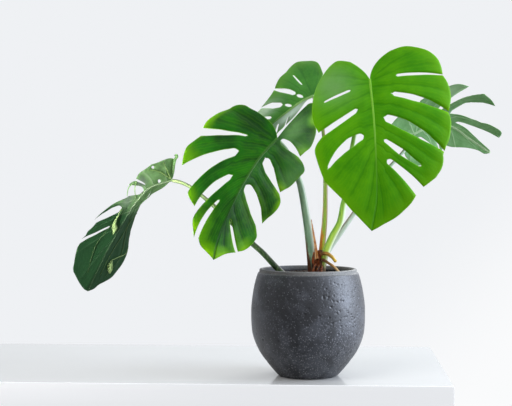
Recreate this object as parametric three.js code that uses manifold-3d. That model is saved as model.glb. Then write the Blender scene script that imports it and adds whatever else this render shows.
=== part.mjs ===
// A young monstera in a round stone-mix pot: the pot, its soil, the woody crown, five leaf stalks,
// five split leaves, the air roots and a dry sheath.
// Millimetres, +Z up. +X points right and +Y to the back. The origin is the centre of the pot's foot.

import * as THREE from 'three';
import { mergeVertices } from 'three/addons/utils/BufferGeometryUtils.js';
import Module from 'manifold-3d';

const wasm = await Module();
wasm.setup();

// Driving dimensions
const GAP = 0.35;               // air between pieces that touch
const POT_HEIGHT = 178;
const POT_MAX_RADIUS = 94.8;
const POT_FOOT_RADIUS = 46;
const POT_LIP_RADIUS = 81;
const POT_LIP_HEIGHT = 6;
const POT_WALL = 8;
const POT_FLOOR = 12;
const POT_SIDES = 32;           // facets round the pot and its soil
const SOIL_TOP = 167;
const SOIL_MOUND = 5;
const CROWN_TOP = 207;
const BLADE_THICKNESS = 1.2;
const BLADE_STEPS_OUT = 8;      // grid steps from the midrib to the margin
const BLADE_STEPS_ALONG = 2;    // grid steps across one lobe

const FINISH = {
  pot: { color: 0x4a4c50, roughness: 0.75 },
  soil: { color: 0x3a2a1e, roughness: 0.95 },
  crown: { color: 0x6b4326, roughness: 0.85 },
  stalk: { color: 0x6d8f5a, roughness: 0.5 },
  freshLeaf: { color: 0x4f9a16, roughness: 0.4 },
  darkLeaf: { color: 0x256a20, roughness: 0.4 },
  oldLeaf: { color: 0x3c5f3c, roughness: 0.5 },
  root: { color: 0xa8772f, roughness: 0.8 },
  sheath: { color: 0xb98a55, roughness: 0.9 },
};

// --- Shape helpers -------------------------------------------------------------------------------

function vectors(points) {
  return points.map((p) => new THREE.Vector3(...p));
}

// The value of a short list of evenly spaced numbers at t from 0 to 1.
function along(list, t) {
  const s = Math.min(Math.max(t, 0), 1) * (list.length - 1);
  const i = Math.min(Math.floor(s), list.length - 2);
  return list[i] + (list[i + 1] - list[i]) * (s - i);
}

function toSolid(geometry) {
  const bare = geometry.clone();
  bare.deleteAttribute('normal');
  bare.deleteAttribute('uv');
  const merged = mergeVertices(bare, 1e-4);
  const vertProperties = new Float32Array(merged.attributes.position.array);
  const triVerts = new Uint32Array(merged.index.array);
  return new wasm.Manifold(new wasm.Mesh({ numProp: 3, vertProperties, triVerts }));
}

function toGeometry(solid) {
  const mesh = solid.getMesh();
  const geometry = new THREE.BufferGeometry();
  geometry.setAttribute('position', new THREE.BufferAttribute(new Float32Array(mesh.vertProperties), 3));
  geometry.setIndex(new THREE.BufferAttribute(new Uint32Array(mesh.triVerts), 1));
  geometry.computeVertexNormals();
  return geometry;
}

// A round rod bent along a smooth path. radii are read evenly from the first point to the last,
// and flat squeezes the section front to back.
function bentRod(path, radii, sides, steps, swell = 0, flat = 1) {
  const curve = new THREE.CatmullRomCurve3(vectors(path), false, 'centripetal');
  const rod = new THREE.CylinderGeometry(1, 1, 1, sides, steps);
  const place = rod.attributes.position;
  const upright = new THREE.Vector3(0, 1, 0);
  const v = new THREE.Vector3();
  for (let i = 0; i < place.count; i += 1) {
    v.fromBufferAttribute(place, i);
    const t = v.y + 0.5;
    const centre = curve.getPointAt(t);
    const tangent = curve.getTangentAt(t);
    const side = new THREE.Vector3().crossVectors(upright, tangent).normalize();
    const front = new THREE.Vector3().crossVectors(side, tangent);
    const radius = along(radii, t) + swell;
    centre.addScaledVector(side, v.x * radius);
    centre.addScaledVector(front, v.z * radius * flat);
    place.setXYZ(i, centre.x, centre.y, centre.z);
  }
  return toSolid(rod);
}

// --- The pot: slip-cast stone mix, one thick shell with a plain lip, no drain hole --------------------

function potOutside() {
  const wall = [
    [50.5, 2.5], [60, 12.5], [70.5, 25.5], [80, 39], [87.5, 54], [92.5, 70], [POT_MAX_RADIUS, 94],
    [94.5, 116], [92.4, 135], [88.5, 155],
  ];
  return [[POT_FOOT_RADIUS, 0], ...wall, [83.4, POT_HEIGHT - POT_LIP_HEIGHT]];
}

function potInside(clearance) {
  const mouth = POT_LIP_RADIUS - 5.5 - clearance;
  const wall = potOutside().filter(([, z]) => z > POT_FLOOR + 8 && z < 160);
  const inner = wall.map(([r, z]) => [r - POT_WALL - clearance, z]);
  return [[44, POT_FLOOR + clearance], [52, POT_FLOOR + 5], ...inner, [mouth, 166]];
}

function buildPot() {
  const lip = [[POT_LIP_RADIUS, POT_HEIGHT - POT_LIP_HEIGHT + 1], [POT_LIP_RADIUS, POT_HEIGHT - 1]];
  const edge = [[POT_LIP_RADIUS - 1, POT_HEIGHT], [POT_LIP_RADIUS - 5, POT_HEIGHT]];
  const mouth = [[POT_LIP_RADIUS - 5.5, POT_HEIGHT - 1]];
  const outline = [[0, 0], ...potOutside(), ...lip, ...edge, ...mouth];
  outline.push(...potInside(0).reverse(), [0, POT_FLOOR]);
  const points = outline.map(([r, z]) => new THREE.Vector2(r, z));
  const shell = new THREE.LatheGeometry(points, POT_SIDES);
  shell.rotateX(Math.PI / 2);
  return toSolid(shell);
}

// --- The soil: fills the pot and rises a little to the crown -------------------------------------------

function buildSoil() {
  const inside = potInside(GAP);
  const mouth = inside[inside.length - 1][0];
  const top = [[mouth, SOIL_TOP], [mouth * 0.8, SOIL_TOP + 0.4 * SOIL_MOUND]];
  top.push([mouth * 0.45, SOIL_TOP + 0.9 * SOIL_MOUND], [0, SOIL_TOP + SOIL_MOUND]);
  const outline = [[0, POT_FLOOR + GAP], ...inside, ...top];
  const points = outline.map(([r, z]) => new THREE.Vector2(r, z));
  const fill = new THREE.LatheGeometry(points, POT_SIDES);
  fill.rotateX(Math.PI / 2);
  return toSolid(fill);
}

// --- The crown: the short woody stem that the stalks and air roots grow from ----------------------------

const CROWN_PATH = [[12, -2, 118], [15, -2, 145], [18, -3, 172], [20, -3, 192], [20, -3, CROWN_TOP]];
const CROWN_RADII = [7, 9, 10, 9.5, 6];

// --- The leaf stalks: round, tapering rods from the crown to each leaf ----------------------------------

const STALKS = {
  far_left: {
    path: [[-14, 8, 140], [-34, 7, 162], [-49, 5, 175], [-77, 2, 205], [-94, 2, 220], [-127, 3, 253],
      [-158, 5, 282], [-180, 9, 300], [-199, 13, 314], [-217, 17, 322], [-229.5, 20, 324.5]],
    radii: [5.2, 5, 4.7, 4, 3.2, 2.7],
  },
  front_left: {
    path: [[6, -3, 150], [6, -3, 179], [2, -4, 226], [-3.5, -3, 267], [-13, 0, 317], [-24, -14, 350],
      [-35, -36, 375], [-47.5, -51.5, 390.5]],
    radii: [7, 6.9, 6.6, 5.8, 4.2, 2.8],
  },
  back: {
    path: [[18, 7, 166], [20.5, 7, 188], [24.5, 7, 225], [27.5, 7, 258], [28.5, 7.5, 300], [28, 8, 345],
      [26, 9.5, 395], [19, 11, 440], [9.2, 11.3, 461.5]],
    radii: [5, 4.9, 4, 3.4, 2.8, 2.4],
  },
  front_right: {
    path: [[22, -5, 166], [26, -6, 192], [32, -8, 212], [41, -11, 233], [52.5, -14, 255], [58, -18, 284],
      [62, -21, 301], [67, -29, 342], [73, -38, 382], [82, -47, 426], [98.8, -56, 481]],
    radii: [5.8, 6, 4.6, 4, 3.4, 2.8],
  },
  back_right: {
    path: [[22, 18, 170], [27, 17.5, 194], [36, 15, 211], [54, 14.5, 237], [75, 18, 267],
      [100.5, 27, 304], [121, 35, 331], [143, 43, 354], [164, 52, 378], [176, 58.5, 400.5]],
    radii: [5, 4.9, 4.1, 3.6, 3, 2.6],
  },
};

function buildStalk({ path, radii }, swell = 0) {
  return bentRod(path, radii, 8, 18, swell);
}

// --- The leaves ---------------------------------------------------------------------------------------
//
// A blade is drawn flat and then bent. On the flat, u runs down the midrib from the stalk and v runs
// out from it, both in millimetres. Each half is the notch at the stalk and a row of cuts. A cut
// runs from the midrib at root, by way of via, to the margin at rim. It is open over span, as
// fractions of that way, and half gives its half widths there. lobes are the margin's points
// between one cut and the next, from the notch to the tip.
// midrib is the path of the midrib, and facing is the way the blade faces along it. fold is the
// angle between each half and that, and curl is how far the half bends back over 100 mm.
// bend moves the end of a lobe along, out from and off the blade.

const LEAVES = {
  front_right: {
    length: 244,
    finish: 'freshLeaf',
    midrib: [[100, -60, 487], [106, -78, 421], [109, -92, 357], [110, -100, 294], [102, -104, 245]],
    facing: [[0, -1, 0.25], [0, -1, 0.25], [0, -1, 0.1]],
    left: {
      fold: [8, 4],
      curl: [-22, -14],
      notch: [[0, 0], [-17, 7], [-32, 29]],
      cuts: [
        { root: 8, via: [18, 46], rim: [39, 97], span: [0.36, 0.8], half: [1.6, 2, 1.2] },
        { root: 34, via: [57, 38], rim: [87, 87], span: [0.31, 1], half: [3.2, 4.4, 4.8] },
        { root: 88, via: [97, 53], rim: [157, 85], span: [0.18, 0.87], half: [5, 8, 6, 1.8] },
      ],
      lobes: [
        [[-35, 42], [-35, 51], [-28, 62], [-16, 73], [-1, 84], [11, 90], [26, 95]],
        [[50, 98], [67, 96]],
        [[93, 86], [102, 93], [113, 97], [129, 94], [142, 90]],
        [[166, 81], [175, 74], [195, 58], [216, 40], [229, 22], [240, 6]],
      ],
    },
    right: {
      fold: [6, 4],
      curl: [-18, -12],
      notch: [[0, 0], [-28, 4], [-45, 37]],
      cuts: [
        { root: 5, via: [-8, 50], rim: [0, 119], span: [0.4, 1], half: [2.2, 2.2, 0.8] },
        { root: 21, via: [31, 66], rim: [61, 121], span: [0.26, 1], half: [3.2, 5, 4, 0.8] },
        { root: 60, via: [73, 50], rim: [121, 109], span: [0.17, 1], half: [5.5, 8.5, 7, 0.8] },
        { root: 90, via: [115, 33], rim: [163, 93], span: [0.2, 0.8], half: [2.5, 5.2, 2.2] },
        { root: 118, via: [142, 30], rim: [181, 67], span: [0.29, 1], half: [4.5, 5.5, 7, 8] },
      ],
      lobes: [
        [[-50, 54], [-51, 67], [-47, 86], [-40, 102], [-29, 113], [-15, 118]],
        [[12, 125], [26, 128], [39, 128], [50, 125]],
        [[73, 124], [88, 122], [103, 118], [114, 112]],
        [[124, 107], [136, 107], [150, 103]],
        [[170, 82]],
        [[195, 55], [205, 45], [218, 32], [230, 17], [238, 8]],
      ],
    },
  },
  front_left: {
    length: 232,
    finish: 'darkLeaf',
    midrib: [[-49, -55, 393], [-76, -75, 362], [-102, -95, 319], [-123, -110, 275], [-141, -122, 225],
      [-146, -126, 200]],
    facing: [[-0.1, -1, 0.45], [0.1, -1, 0.2], [0.1, -1, 0]],
    left: {
      fold: [5, 3],
      curl: [-10, -8],
      notch: [[0, 0], [-20, 16], [-21, 56]],
      cuts: [
        { root: 10, via: [31, 48], rim: [58, 103], span: [0.4, 1], half: [1.5, 2.5, 4.5, 6.5] },
        { root: 33, via: [63, 56], rim: [125, 84], span: [0.34, 1], half: [6, 9, 13, 17] },
        { root: 66, via: [118, 42], rim: [165, 49], span: [0.3, 1], half: [4, 6.5, 6, 4.5] },
        { root: 100, via: [150, 34], rim: [206, 34], span: [0.4, 1], half: [1.5, 3.5, 4, 3.6] },
      ],
      lobes: [
        [[-20, 72], [-20, 83], [-15, 91], [-6, 97], [10, 102], [29, 107], [42, 109]],
        [[73, 104], [87, 109], [103, 106]],
        [[142, 71], [149, 72], [156, 66]],
        [[178, 49], [187, 47], [195, 43]],
        [[214, 25], [222, 13]],
      ],
      bend: { 3: [0, 0, -10] },
    },
    right: {
      fold: [-40, -38],
      curl: [-16, -14],
      notch: [[0, 0], [-42, -4], [-84, -1]],
      cuts: [
        { root: 2, via: [-12, 26], rim: [-11, 51], span: [0.14, 1], half: [5, 7, 5, 1.5] },
        { root: 36, via: [52, 32], rim: [63, 71], span: [0.13, 1], half: [8, 10, 5, 0.8] },
        { root: 96, via: [107, 34], rim: [138, 72], span: [0.1, 1], half: [8, 12, 13, 9] },
        { root: 150, via: [181, 24], rim: [207, 46], span: [0.18, 1], half: [1.8, 2.8, 3.2, 3] },
      ],
      lobes: [
        [[-92, 3], [-84, 12], [-72, 24], [-67, 39], [-57, 47], [-39, 54], [-25, 52]],
        [[-9, 66], [-4, 75], [7, 77], [34, 78], [50, 75]],
        [[72, 83], [83, 88], [100, 87], [116, 82]],
        [[153, 74], [162, 80], [174, 78], [188, 70], [199, 59]],
        [[219, 21], [227, 8]],
      ],
      bend: { 2: [0, 0, -6] },
    },
  },
  back: {
    length: 150,
    finish: 'darkLeaf',
    midrib: [[8, 10, 466], [-10, 2, 457], [-30, -6, 442], [-51, -14, 425], [-76, -18, 401],
      [-102, -18, 375]],
    facing: [[-0.35, -0.85, 0.45], [-0.35, -0.85, 0.35]],
    left: {
      fold: [6, 5],
      curl: [-14, -8],
      notch: [[0, 0], [-20, 10], [-42, 33]],
      cuts: [
        { root: 1, via: [1, 38], rim: [4, 75], span: [0.43, 0.78], half: [1.4, 2, 1.4] },
        { root: 15, via: [24, 28], rim: [39, 53], span: [0.36, 1], half: [3.4, 4.5, 4, 2] },
        { root: 40, via: [48, 20], rim: [80, 39], span: [0.43, 1], half: [4.5, 6.5, 1] },
        { root: 72, via: [84, 14], rim: [108, 36], span: [0.33, 1], half: [2.5, 3, 3] },
        { root: 104, via: [118, 12], rim: [138, 26], span: [0.4, 1], half: [2, 3, 3] },
      ],
      lobes: [
        [[-47, 54], [-47, 63], [-42, 71], [-31, 79], [-21, 83], [-10, 81]],
        [[9, 72], [20, 68], [28, 62]],
        [[49, 48], [62, 44]],
        [[97, 37]],
        [[118, 34], [128, 30]],
        [[146, 14]],
      ],
    },
    right: {
      fold: [-104, -100],
      curl: [-8, -6],
      notch: [[0, 0], [6, 2], [13, 7]],
      cuts: [
        { root: 46, via: [54, 18], rim: [60, 39], span: [0.5, 1], half: [0.8, 1.2, 1.6] },
        { root: 68, via: [78, 20], rim: [94, 44], span: [0.4, 1], half: [2, 3, 4] },
      ],
      lobes: [
        [[17, 12], [24, 22], [32, 30], [42, 34]],
        [[66, 41], [80, 42]],
        [[108, 40], [126, 32], [142, 14]],
      ],
    },
  },
  back_right: {
    length: 185,
    finish: 'oldLeaf',
    midrib: [[178, 60, 404], [207, 70, 416], [244, 84, 418], [278, 98, 397], [315, 112, 373]],
    facing: [[0, 0.75, 0.65], [0.1, 0.75, 0.6], [0.3, 0.75, 0.5]],
    left: {
      fold: [0, 0],
      curl: [-20, -15],
      notch: [[0, 0], [-16, -2], [-50, 14]],
      cuts: [
        { root: 2, via: [0, 30], rim: [14, 70], span: [0.4, 1], half: [2, 3, 5] },
        { root: 16, via: [62, 42], rim: [80, 97], span: [0.34, 1], half: [2.5, 5, 6, 8] },
        { root: 40, via: [97, 54], rim: [118, 65], span: [0.3, 1], half: [3, 16, 22, 23] },
        { root: 66, via: [100, 24], rim: [170, 19], span: [0.28, 1], half: [2, 5, 11, 17] },
      ],
      lobes: [
        [[-50, 28], [-38, 46], [-14, 62]],
        [[40, 82], [52, 98], [61, 103]],
        [[88, 94], [97, 91]],
        [[146, 49], [161, 50], [169, 46]],
        [[179, 4]],
      ],
    },
    right: {
      fold: [-20, -20],
      curl: [-25, -15],
      notch: [[0, 0], [-16, 4], [-24, 18]],
      cuts: [
        { root: 6, via: [12, 26], rim: [24, 44], span: [0.2, 1], half: [4, 9, 14, 24] },
        { root: 36, via: [48, 20], rim: [66, 48], span: [0.4, 1], half: [1.5, 2, 2] },
        { root: 62, via: [80, 16], rim: [98, 36], span: [0.3, 1], half: [1.5, 2, 2] },
      ],
      lobes: [
        [[-25, 30], [-18, 46], [-8, 56]],
        [[56, 48]],
        [[74, 48], [88, 43]],
        [[114, 31], [135, 18], [161, 9], [178, 7]],
      ],
    },
  },
  far_left: {
    length: 262,
    finish: 'oldLeaf',
    midrib: [[-232, 20, 325], [-265, 0, 313], [-288, -10, 287], [-312, -12, 249], [-337, -8, 205],
      [-371, 0, 138]],
    facing: [[-0.1, 0.75, 0.6], [-0.3, 0.8, 0.5], [-0.45, 0.8, 0.35], [-0.5, 0.8, 0.2],
      [-0.5, 0.8, 0.1]],
    left: {
      fold: [24, 30, 38, 36, 30, 26, 24],
      curl: [10, 10],
      notch: [[0, 0], [1, 3], [4, 10]],
      cuts: [
      ],
      lobes: [
        [[10, 20], [22, 33], [42, 32], [60, 27], [72, 23], [85, 22], [99, 26], [116, 36], [134, 44],
          [155, 52], [175, 61], [188, 62], [203, 59], [217, 52], [230, 44], [239, 31], [247, 19],
          [256, 12]],
      ],
    },
    right: {
      fold: [20, 10],
      curl: [-10, -8],
      notch: [[0, 0], [-10, 6], [-11, 36]],
      cuts: [
        { root: 53, via: [63, 12], rim: [72, 22], span: [0.12, 1], half: [5, 7, 8, 9] },
        { root: 80, via: [108, 22], rim: [142, 42], span: [0.35, 1], half: [5, 6, 5, 3] },
        { root: 118, via: [146, 22], rim: [181, 46], span: [0.35, 1], half: [1.2, 1.5, 2.5, 3.5] },
      ],
      lobes: [
        [[-6, 39], [0, 40], [13, 39], [24, 37], [31, 37], [38, 33], [46, 31], [54, 26], [59, 27]],
        [[87, 20], [95, 26], [108, 33], [122, 39]],
        [[154, 42], [163, 45], [171, 45]],
        [[187, 48], [192, 49], [208, 46], [223, 42], [235, 39], [242, 32], [255, 17], [262, 5]],
      ],
    },
  },
};

function flatCurve(a, b, c, t) {
  const s = 1 - t;
  const u = s * s * a[0] + 2 * s * t * b[0] + t * t * c[0];
  const v = s * s * a[1] + 2 * s * t * b[1] + t * t * c[1];
  return new THREE.Vector2(u, v);
}

// A slot's end is a half circle of its first or last half width.
function roundEnd(distance, radius) {
  const e = Math.min(Math.max(distance / radius, 0), 1);
  return Math.sqrt(1 - (1 - e) ** 2);
}

function cutHalfWidth(cut, r) {
  const [start, end] = cut.span;
  if (r <= start || (end < 1 && r >= end)) {
    return 0;
  }
  const length = Math.hypot(cut.rim[0] - cut.root, cut.rim[1]);
  let width = along(cut.half, (r - start) / (end - start));
  width *= roundEnd((r - start) * length, cut.half[0]);
  if (end < 1) {
    width *= roundEnd((end - r) * length, cut.half[cut.half.length - 1]);
  }
  return width;
}

// The two edges of a cut at r, first the one nearer the stalk.
function cutEdges(cut, r) {
  const root = [cut.root, 0];
  const centre = flatCurve(root, cut.via, cut.rim, r);
  const ahead = flatCurve(root, cut.via, cut.rim, r + 0.001);
  const heading = ahead.sub(centre).normalize();
  const across = new THREE.Vector2(-heading.y, heading.x).multiplyScalar(cutHalfWidth(cut, r));
  return [centre.clone().add(across), centre.clone().sub(across)];
}

function spread(a, b, t) {
  return new THREE.Vector2().lerpVectors(a, b, t);
}

// One lobe as a grid of flat points: rows run from the midrib to the margin, columns along the lobe.
function lobeGrid(half, length, i) {
  const rows = BLADE_STEPS_OUT;
  const last = i === half.cuts.length;
  const from = i === 0 ? 0 : half.cuts[i - 1].root;
  const to = last ? from + 0.3 * (length - from) : half.cuts[i].root;
  const near = (r) => (i === 0 ? flatCurve(...half.notch, r) : cutEdges(half.cuts[i - 1], r)[1]);
  const far = (r) => (last ? new THREE.Vector2(to + (length - to) * r, 0) : cutEdges(half.cuts[i], r)[0]);
  const margin = half.lobes[i].map(([u, v]) => new THREE.Vector3(u, v, 0));
  const ends = [near(1), far(1)].map((p) => new THREE.Vector3(p.x, p.y, 0));
  const edge = new THREE.CatmullRomCurve3([ends[0], ...margin, ends[1]], false, 'centripetal');
  const columns = margin.length > 4 ? 2 * BLADE_STEPS_ALONG : BLADE_STEPS_ALONG;
  const grid = [];
  for (let j = 0; j <= rows; j += 1) {
    const r = j / rows;
    const row = [];
    for (let k = 0; k <= columns; k += 1) {
      const q = k / columns;
      const rib = new THREE.Vector2(from + (to - from) * q, 0);
      const rim = edge.getPointAt(q);
      const point = spread(near(r), far(r), q).add(spread(rib, new THREE.Vector2(rim.x, rim.y), r));
      const corners = spread(spread(near(0), far(0), q), spread(near(1), far(1), q), r);
      row.push({ flat: point.sub(corners), r, q, lobe: i });
    }
    grid.push(row);
  }
  return grid;
}

function easeIn(x) {
  const t = Math.min(Math.max(x, 0), 1);
  return t * t * (3 - 2 * t);
}

// How far a lobe is bent at a grid point. Lobes that are joined there share their bends.
function lobeBend(half, { r, q, lobe }) {
  const bendOf = (k) => new THREE.Vector3(...((half.bend && half.bend[k]) || [0, 0, 0]));
  const own = bendOf(lobe);
  if (lobe === half.cuts.length) {
    return own.multiplyScalar((1 - q) * r * r);
  }
  const neighbour = q < 0.5 ? lobe - 1 : lobe + 1;
  if (neighbour < 0) {
    return own.multiplyScalar(r * r);
  }
  const [start, end] = half.cuts[Math.min(lobe, neighbour)].span;
  const open = easeIn((r - start) / 0.25) * (end < 1 ? easeIn((end - r) / 0.12) : 1);
  const shared = own.clone().add(bendOf(neighbour)).multiplyScalar(0.5);
  const atEdge = shared.lerp(own, open);
  return own.lerp(atEdge, (2 * q - 1) ** 2).multiplyScalar(r * r);
}

// Takes a flat point of the blade to its place in the bent leaf.
function bentPlace(leaf, spine, hand, at) {
  const half = hand < 0 ? leaf.left : leaf.right;
  const bend = lobeBend(half, at);
  const u = at.flat.x + bend.x;
  const v = at.flat.y + bend.y;
  const t = Math.min(Math.max(u / leaf.length, 0), 1);
  const tangent = spine.getTangentAt(t);
  const facing = new THREE.Vector3(...[0, 1, 2].map((c) => along(leaf.facing.map((f) => f[c]), t)));
  facing.addScaledVector(tangent, -facing.dot(tangent)).normalize();
  const outward = new THREE.Vector3().crossVectors(facing, tangent).multiplyScalar(hand);
  const fold = THREE.MathUtils.degToRad(along(half.fold, t));
  const curl = THREE.MathUtils.degToRad(along(half.curl, t)) / 100;
  const reach = (Math.sin(fold + curl * v) - Math.sin(fold)) / curl;
  const rise = (Math.cos(fold) - Math.cos(fold + curl * v)) / curl + bend.z;
  const place = spine.getPointAt(t);
  place.addScaledVector(outward, reach);
  place.addScaledVector(facing, rise);
  place.addScaledVector(tangent, u - t * leaf.length);
  return place;
}

// One half of a blade as a closed sheet.
function halfBlade(leaf, spine, hand) {
  const half = hand < 0 ? leaf.left : leaf.right;
  const points = [];
  const seen = new Map();
  const faces = [];
  const number = (at) => {
    const key = `${at.flat.x.toFixed(3)},${at.flat.y.toFixed(3)}`;
    if (!seen.has(key)) {
      seen.set(key, points.length);
      points.push(bentPlace(leaf, spine, hand, at));
    }
    return seen.get(key);
  };
  for (let i = 0; i <= half.cuts.length; i += 1) {
    const grid = lobeGrid(half, leaf.length, i);
    for (let j = 0; j + 1 < grid.length; j += 1) {
      for (let k = 0; k + 1 < grid[j].length; k += 1) {
        const ring = [grid[j][k], grid[j + 1][k], grid[j + 1][k + 1], grid[j][k + 1]].map(number);
        faces.push([ring[0], ring[1], ring[2]], [ring[0], ring[2], ring[3]]);
      }
    }
  }
  const kept = faces.filter(([a, b, c]) => a !== b && b !== c && c !== a);
  return sheetSolid(points, hand < 0 ? kept : kept.map(([a, b, c]) => [a, c, b]));
}

// Thickens a sheet of triangles to a closed solid.
function sheetSolid(points, faces) {
  const normals = points.map(() => new THREE.Vector3());
  for (const [a, b, c] of faces) {
    const ab = new THREE.Vector3().subVectors(points[b], points[a]);
    const ac = new THREE.Vector3().subVectors(points[c], points[a]);
    const normal = ab.cross(ac);
    for (const corner of [a, b, c]) {
      normals[corner].add(normal);
    }
  }
  const count = points.length;
  const vertProperties = new Float32Array(6 * count);
  points.forEach((point, i) => {
    const off = normals[i].normalize().multiplyScalar(BLADE_THICKNESS / 2);
    vertProperties.set(point.clone().add(off).toArray(), 3 * i);
    vertProperties.set(point.clone().sub(off).toArray(), 3 * (count + i));
  });
  const walls = new Map();
  for (const [a, b, c] of faces) {
    for (const [p, q] of [[a, b], [b, c], [c, a]]) {
      if (walls.has(`${q},${p}`)) {
        walls.delete(`${q},${p}`);
      } else {
        walls.set(`${p},${q}`, [p, q]);
      }
    }
  }
  const triangles = [];
  for (const [a, b, c] of faces) {
    triangles.push(a, b, c, count + a, count + c, count + b);
  }
  for (const [p, q] of walls.values()) {
    triangles.push(p, count + p, count + q, p, count + q, q);
  }
  const triVerts = new Uint32Array(triangles);
  return new wasm.Manifold(new wasm.Mesh({ numProp: 3, vertProperties, triVerts }));
}

// The midrib stands proud of both faces and joins the two halves.
function buildBlade(leaf) {
  const spine = new THREE.CatmullRomCurve3(vectors(leaf.midrib), false, 'centripetal');
  const rib = bentRod(leaf.midrib, [2.3, 1.9, 1.5, 1], 6, 14);
  return halfBlade(leaf, spine, -1).add(halfBlade(leaf, spine, 1)).add(rib);
}

// --- Air roots and the dry sheath ---------------------------------------------------------------------

const AIR_ROOTS = {
  stub: { path: [[22, -11, 203], [30, -15, 204], [38, -18, 200], [46, -20, 191]], radii: [3.4, 3.2, 2.6] },
  long: {
    path: [[24, -12, 194], [33, -17, 189], [42, -20, 183], [50, -21, 175], [56, -20, 164]],
    radii: [2.8, 2.4, 2.2, 2],
  },
};
const SHEATH_PATH = [[14, -12, 196], [12.5, -11.5, 216], [9, -10.8, 238], [5.5, -10.5, 260]];

// --- The assembly -------------------------------------------------------------------------------------

const monstera = new THREE.Group();

function addPiece(name, solid, finish) {
  const { color, roughness } = FINISH[finish];
  const material = new THREE.MeshStandardMaterial({ color, roughness, metalness: 0 });
  const mesh = new THREE.Mesh(toGeometry(solid), material);
  mesh.name = name;
  monstera.add(mesh);
}

addPiece('pot', buildPot(), 'pot');

let stalkSpace = null;
for (const [place, stalk] of Object.entries(STALKS)) {
  addPiece(`stalk_${place}`, buildStalk(stalk), 'stalk');
  const space = buildStalk(stalk, GAP);
  stalkSpace = stalkSpace ? stalkSpace.add(space) : space;
}

const crown = bentRod(CROWN_PATH, CROWN_RADII, 12, 8).subtract(stalkSpace);
addPiece('crown', crown, 'crown');

let planted = bentRod(CROWN_PATH, CROWN_RADII, 12, 8, GAP).add(stalkSpace);
for (const [name, { path, radii }] of Object.entries(AIR_ROOTS)) {
  const taken = planted;
  addPiece(`air_root_${name}`, bentRod(path, radii, 7, 8).subtract(taken), 'root');
}
planted = planted.add(bentRod(AIR_ROOTS.long.path, AIR_ROOTS.long.radii, 7, 8, GAP));
addPiece('soil', buildSoil().subtract(planted), 'soil');

const sheath = bentRod(SHEATH_PATH, [3.6, 2.8, 1.8, 0.8], 6, 8, 0, 0.25);
addPiece('dry_sheath', sheath.subtract(planted), 'sheath');

for (const [place, leaf] of Object.entries(LEAVES)) {
  const seat = buildStalk(STALKS[place], GAP);
  addPiece(`leaf_${place}`, buildBlade(leaf).subtract(seat), leaf.finish);
}

monstera.updateMatrixWorld(true);
export default monstera;
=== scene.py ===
"""A young monstera with five split leaves, growing in a round stone-mix pot.

Metres, +Z up. +X points right and +Y to the back. The origin is the centre of the pot's foot.
Outlines and paths are written in millimetres and scaled as they are placed.
"""

import math
import random

import bpy
import numpy as np
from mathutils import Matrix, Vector, noise


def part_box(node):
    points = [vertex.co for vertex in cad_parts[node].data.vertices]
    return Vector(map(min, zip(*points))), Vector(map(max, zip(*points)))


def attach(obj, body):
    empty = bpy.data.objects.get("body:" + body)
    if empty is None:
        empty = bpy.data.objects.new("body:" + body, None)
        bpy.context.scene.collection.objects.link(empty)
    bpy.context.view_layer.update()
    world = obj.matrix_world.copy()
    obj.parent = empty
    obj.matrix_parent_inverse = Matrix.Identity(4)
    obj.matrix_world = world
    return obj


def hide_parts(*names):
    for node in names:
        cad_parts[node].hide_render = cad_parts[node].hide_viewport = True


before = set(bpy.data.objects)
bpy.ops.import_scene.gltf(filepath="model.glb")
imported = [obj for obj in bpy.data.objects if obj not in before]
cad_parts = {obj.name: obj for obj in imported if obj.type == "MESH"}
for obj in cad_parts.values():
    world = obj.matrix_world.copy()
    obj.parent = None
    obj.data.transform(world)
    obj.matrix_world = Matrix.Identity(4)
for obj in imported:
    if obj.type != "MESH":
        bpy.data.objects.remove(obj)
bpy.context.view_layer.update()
MM = 0.001

# --- The view -----------------------------------------------------------------------------------------
# A long lens about two metres back, just under the top of the plant, looking a little to the left
# and almost level.

lens = bpy.data.cameras.new("still_life_lens")
lens.lens = 84.4
lens.sensor_width = 36
camera = bpy.data.objects.new("still_life_camera", lens)
camera.location = (0.033, -2.0, 0.322)
camera.rotation_euler = (math.radians(89), 0, math.radians(3.43))
bpy.context.collection.objects.link(camera)
bpy.context.scene.camera = camera
bpy.context.scene.view_settings.view_transform = "Standard"


# --- The studio: a pale glossy floor, pale air all round and four soft lamps --------------------------
# The floor is the top of a white lacquered table that ends behind, in front and to the right. The
# air is brighter at the back and right, where the window would be.


class Wire:
    """A number or colour that flows through a shader tree. Arithmetic on it adds Math nodes."""

    def __init__(self, tree, socket=None):
        self.tree = tree
        self.socket = socket

    def node(self, kind, settings=None, inputs=None, output=0):
        """Adds any node: its settings first, then a value, a web colour or a wire for each socket."""
        made = self.tree.nodes.new(kind)
        for name, value in (settings or {}).items():
            setattr(made, name, value)
        for name, value in (inputs or {}).items():
            if isinstance(value, Wire):
                self.tree.links.new(value.socket, made.inputs[name])
            else:
                made.inputs[name].default_value = paint(value) if isinstance(value, str) else value
        return Wire(self.tree, made.outputs[output])

    def math(self, operation, *values):
        return self.node("ShaderNodeMath", {"operation": operation}, dict(enumerate(values)))

    def __add__(self, other):
        return self.math("ADD", self, other)

    def __sub__(self, other):
        return self.math("SUBTRACT", self, other)

    def __rsub__(self, other):
        return self.math("SUBTRACT", other, self)

    def __mul__(self, other):
        return self.math("MULTIPLY", self, other)

    def __truediv__(self, other):
        return self.math("DIVIDE", self, other)

    __radd__ = __add__
    __rmul__ = __mul__


def paint(text):
    """The linear colour of a web colour such as #6b8e23."""
    parts = [int(text[i:i + 2], 16) / 255 for i in (1, 3, 5)]
    linear = [c / 12.92 if c <= 0.04045 else ((c + 0.055) / 1.055) ** 2.4 for c in parts]
    return (*linear, 1.0)


def new_finish(name):
    """A new material, with a wire to start its nodes from."""
    finish = bpy.data.materials.new(name)
    finish.use_nodes = True
    finish.node_tree.nodes.clear()
    return finish, Wire(finish.node_tree)


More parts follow.
